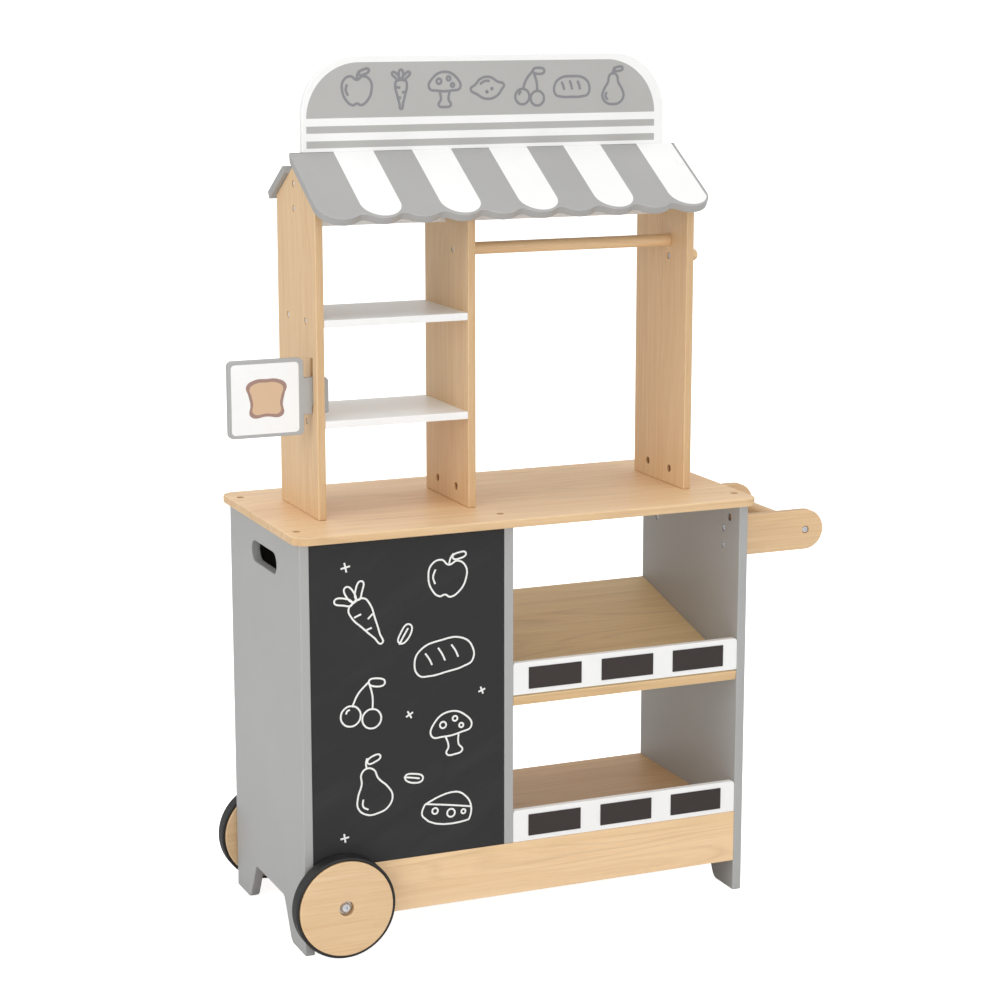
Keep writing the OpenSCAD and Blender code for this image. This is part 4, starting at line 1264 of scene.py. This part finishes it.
class StallAwnings(StallStep):
    """Builds the scalloped front awning and the plain rear awning"""

    bl_idname = "stall.awnings"
    bl_label = "Awnings"

    def build(self, sizes):
        low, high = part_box("front_awning")
        bm = start()
        self.scalloped_edge(bm, high.x - low.x, sizes)
        bmesh.ops.contextual_create(bm, geom=bm.edges[:])
        thicken(bm, UP * sizes.awning_board)
        slope = roof_matrix() @ Matrix.Translation((low.x, -awning_length(), 0))
        bmesh.ops.transform(bm, matrix=slope, verts=bm.verts)
        cut = bmesh.ops.bisect_plane(
            bm, geom=[*bm.verts, *bm.edges, *bm.faces], plane_co=high, plane_no=BACK, clear_outer=True
        )
        rim = [e for e in cut["geom_cut"] if isinstance(e, bmesh.types.BMEdge)]
        bmesh.ops.contextual_create(bm, geom=rim)
        rear = tilted_board("rear_awning", -sizes.roof_pitch, sizes.awning_board)
        for end, bm, radius, pitch, material in (
            ("front", bm, sizes.awning_round, sizes.roof_pitch, "awning paint"),
            ("rear", rear, sizes.thin_round, -sizes.roof_pitch, "rear awning paint"),
        ):
            inward = Matrix.Rotation(pitch, 3, "X") @ -UP
            bm = drill(ease(bm, radius), flush_holes("awning_screws", inward, sizes))
            keep(bm, f"awning_{end}", material, "awning_paint", f"{end}_awning")

    def scalloped_edge(self, bm, wide, sizes):
        """The front awning's outline: corners, scallops and valleys as arcs, then the straight top."""
        corner, valley = sizes.awning_corner, sizes.valley_round
        pitch = (wide - 2 * corner) / (sizes.scallops - 1)
        turn = 2 * math.atan(2 * sizes.scallop_depth / pitch)
        lobe = pitch / 2 / math.sin(turn) - valley
        arcs = [(corner, corner, math.pi / 2)]
        for i in range(sizes.scallops - 1):
            x = corner + i * pitch
            arcs += [
                (x, lobe, turn), (x + pitch / 2, sizes.scallop_depth - valley, -2 * turn),
                (x + pitch, lobe, turn),
            ]
        arcs.append((wide - corner, corner, math.pi / 2))
        first = tip = bm.verts.new((0, corner, 0))
        for x, y, sweep in arcs:
            made = bmesh.ops.spin(
                bm, geom=[tip], cent=(x, y, 0), axis=UP, angle=sweep, steps=10, use_merge=False,
                use_duplicate=False,
            )
            tip = next(v for v in made["geom_last"] if isinstance(v, bmesh.types.BMVert))
        ridge = awning_length() + sizes.awning_board * math.tan(sizes.roof_pitch)
        right, left = (bm.verts.new((x, ridge, 0)) for x in (wide, 0))
        for pair in ((tip, right), (right, left), (left, first)):
            bm.edges.new(pair)


class StallFlagSign(StallStep):
    """Builds the flag sign, hooked into the left upright, and the slice of bread printed on it"""

    bl_idname = "stall.flag_sign"
    bl_label = "Flag sign"

    def build(self, sizes):
        low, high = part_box("flag_sign")
        wide, (end, thick, tall) = flag_plate(), high - low
        base, top = (tall - sizes.neck_height) / 2, (tall + sizes.neck_height) / 2
        near, far = (corner.x - low.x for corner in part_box("left_upright"))
        near, far, notch = near - sizes.slot_gap, far + sizes.slot_gap, base + sizes.notch_depth
        r = sizes.flag_corner
        corners = [
            (0, 0, r), (wide, 0, r), (wide, base, 0), (near, base, 0), (near, notch, 0), (far, notch, 0),
            (far, base, 0), (end, base, sizes.tab_corner), (end, top, r), (wide, top, 0), (wide, tall, r),
            (0, tall, r),
        ]
        bm = start()
        face = outline(bm, [(low.x + x, low.y, low.z + z) for x, z, _ in corners])
        for vert, (_, _, radius) in zip(list(face.verts), corners):
            if radius:
                round_corner(bm, vert, radius, segments=6)
        thicken(bm, BACK * thick)
        keep(ease(bm, sizes.thin_round), "flag_board", "flag paint", "flag_paint", "flag_sign", body="flag")
        middle = Vector((low.x + wide / 2, low.y, low.z + tall / 2))
        closed, points = SLICE
        for name, size, depth in (
            ("crust", sizes.crust, sizes.crust_depth), ("crumb", sizes.crumb, sizes.crumb_depth)
        ):
            stroke = (closed, [(x * size, y * size, 0) for x, y in points])
            bm = traced([stroke], dimensions="2D", fill_mode="BOTH", resolution_u=14, extrude=depth / 2)
            keep(stuck(bm, middle, depth), f"flag_{name}", f"{name} print", "flag_paint", body="flag")


class StallWheels(StallStep):
    """Builds the two wheel discs and their tyres"""

    bl_idname = "stall.wheels"
    bl_label = "Wheels"

    def build(self, sizes):
        for end, out in (("front", FRONT), ("rear", BACK)):
            body, node, tyre = f"{end}_wheel", f"{end}_wheel_disc", f"{end}_tyre"
            low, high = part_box(node)
            middle, radius, wide = (low + high) / 2, (high.x - low.x) / 2, high.y - low.y
            hub, bore, seat = sizes.hub_recess / 2, sizes.axle_bore / 2, wide - sizes.hub_depth
            profile = [(bore, 0), (radius, 0), (radius, wide), (hub, wide), (hub, seat), (bore, seat)]
            bm = ease(lathe(profile, middle - out * wide / 2, out), sizes.disc_round)
            keep(bm, f"{end}_disc", "wheel wood", "light_wood", node, body=body)
            low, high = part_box(tyre)
            outer, band = (high.x - low.x) / 2, high.y - low.y
            profile = [(radius, 0), (outer, 0), (outer, band), (radius, band)]
            bm = ease(lathe(profile, middle - out * band / 2, out), sizes.tyre_round, segments=4)
            keep(bm, f"{end}_tread", "rubber", "tyre_rubber", tyre, body=body)


class StallHandle(StallStep):
    """Builds the two handle arms and the crossbar between them"""

    bl_idname = "stall.handle"
    bl_label = "Handle"

    def build(self, sizes):
        for end, out in (("front", FRONT), ("rear", BACK)):
            node = f"handle_{end}_arm"
            low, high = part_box(node)
            bm = board(low, high)
            bevel(bm, corner_edges(bm, BACK, RIGHT), (high.z - low.z) / 2 - ALIKE, segments=10)
            bmesh.ops.remove_doubles(bm, verts=bm.verts, dist=NEAR)
            holes = sunk_holes(node, -out, ["handle_bar_bolts"], sizes.head_sink, sizes.bolt_hole)
            keep(drill(ease(bm, sizes.board_round), holes), f"{end}_arm", "arm wood", "light_wood", node)
        bm = bar("handle_crossbar", BACK, sizes.bar_round)
        keep(bm, "crossbar", "bar wood", "light_wood", "handle_crossbar")


class StallFasteners(StallStep):
    """Gives the screws, bolts, nuts, washers and dowels their metal or wood"""

    bl_idname = "stall.fasteners"
    bl_label = "Fasteners"

    special = {
        **dict.fromkeys(("counter_bolts", "counter_barrel_nuts", "upright_barrel_nuts"), "bronze"),
        **dict.fromkeys(("tower_shelf_screws", "sign_screws", "rail_screws"), "screw steel"),
        "awning_screws": "awning paint",
        "cabinet_dowels": "dowel wood",
    }

    def build(self, sizes):
        for name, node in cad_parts.items():
            if not node.hide_render:
                for place in node.material_slots:
                    place.material = finish(self.special.get(name, "steel"))


class StallStage(StallStep):
    """Sets up the pale floor, the soft studio light and the camera"""

    bl_idname = "stall.stage"
    bl_label = "Stage"

    # Half the floor's length in metres, its grey and how much it is lifted for the camera
    floor_half, floor_grey, floor_lift = 60.0, 0.85, 0.9
    # Strength of the white surroundings, as light and as the camera sees them
    world_light, world_seen = 0.62, 1.05
    # The soft lights, with place and size in metres and power in watts, and where they point
    softboxes = (
        ("top", (0.0, -0.4, 3.8), 2.4, 34.0),
        ("left", (-3.4, -0.6, 1.9), 2.0, 20.0),
        ("front", (0.2, -4.0, 1.0), 2.0, 31.0),
        ("front left", (-3.0, -1.75, 1.2), 2.0, 12.0),
        ("back", (0.3, 3.4, 1.6), 2.0, 4.0),
    )
    light_aim = Vector((0, 0, 0.5))
    # The camera's place in metres, how far it looks down and turns right in degrees, and its lens in mm
    camera_place, camera_down, camera_right = (-1.216515, -2.7979, 1.12645), 11.587, 23.126
    lens, sensor = 90.16, 36.0

    def build(self, sizes):
        self.floor()
        self.light()
        self.camera()
        bpy.context.scene.view_settings.view_transform = "Standard"

    def floor(self):
        bm = bmesh.new()
        bmesh.ops.create_grid(bm, x_segments=2, y_segments=2, size=self.floor_half)
        floor = placed("floor", stored("floor", bm))
        material, n, shader = blank("floor")
        n.join(shader, {
            "Base Color": rgba([self.floor_grey] * 3), "Roughness": 0.9, "Specular IOR Level": 0.0,
            "Emission Color": n.mix(n.seen(), BLACK, WHITE), "Emission Strength": self.floor_lift,
        })
        floor.data.materials.append(material)

    def light(self):
        world = bpy.data.worlds.new("studio")
        bpy.context.scene.world = world
        world.use_nodes = True
        n = Nodes(world.node_tree)
        strength = n.remap(n.seen(), 0.0, 1.0, self.world_light, self.world_seen)
        n.join(world.node_tree.nodes["Background"], {"Color": WHITE, "Strength": strength})
        for name, place, size, power in self.softboxes:
            data = bpy.data.lights.new(name, "AREA")
            data.size, data.energy = size, power
            lamp = placed(name, data)
            lamp.location = place
            lamp.rotation_euler = (self.light_aim - Vector(place)).to_track_quat("-Z", "Y").to_euler()

    def camera(self):
        data = bpy.data.cameras.new("camera")
        data.lens, data.sensor_width = self.lens, self.sensor
        data.clip_start, data.clip_end = 0.1, 200.0
        camera = placed("camera", data)
        camera.location = self.camera_place
        turn = (90 - self.camera_down, 0.0, -self.camera_right)
        camera.rotation_euler = [math.radians(part) for part in turn]
        bpy.context.scene.camera = camera


STEPS = (
    StallStage, StallSidePanels, StallCountertop, StallCabinetBoards, StallChalkboard, StallFences,
    StallUprights, StallTowerShelves, StallRailAndPeg, StallHeaderSign, StallAwnings, StallFlagSign,
    StallWheels, StallHandle, StallFasteners,
)


class StallPanel(Panel):
    """Lists the sizes, colours and steps of the stall"""

    bl_idname = "VIEW3D_PT_stall"
    bl_label = "Market stall"
    bl_space_type = "VIEW_3D"
    bl_region_type = "UI"
    bl_category = "Stall"

    def draw(self, context):
        column = self.layout.column(align=True)
        for step in STEPS:
            column.operator(step.bl_idname)
        for group in (context.scene.stall_sizes, context.scene.stall_colours):
            settings = self.layout.column()
            for name in group.__annotations__:
                settings.prop(group, name)


CLASSES = (StallSizes, StallColours, *STEPS, StallPanel)


def register():
    """Adds the classes and the settings to Blender."""
    for item in CLASSES:
        bpy.utils.register_class(item)
    bpy.types.Scene.stall_sizes = PointerProperty(type=StallSizes)
    bpy.types.Scene.stall_colours = PointerProperty(type=StallColours)


def unregister():
    """Takes the settings and the classes out of Blender."""
    del bpy.types.Scene.stall_colours
    del bpy.types.Scene.stall_sizes
    for item in reversed(CLASSES):
        bpy.utils.unregister_class(item)


def main():
    """Builds the stall step by step."""
    register()
    for step in STEPS:
        group, name = step.bl_idname.split(".")
        getattr(getattr(bpy.ops, group), name)()
    bpy.context.view_layer.update()


if __name__ == "__main__":
    main()
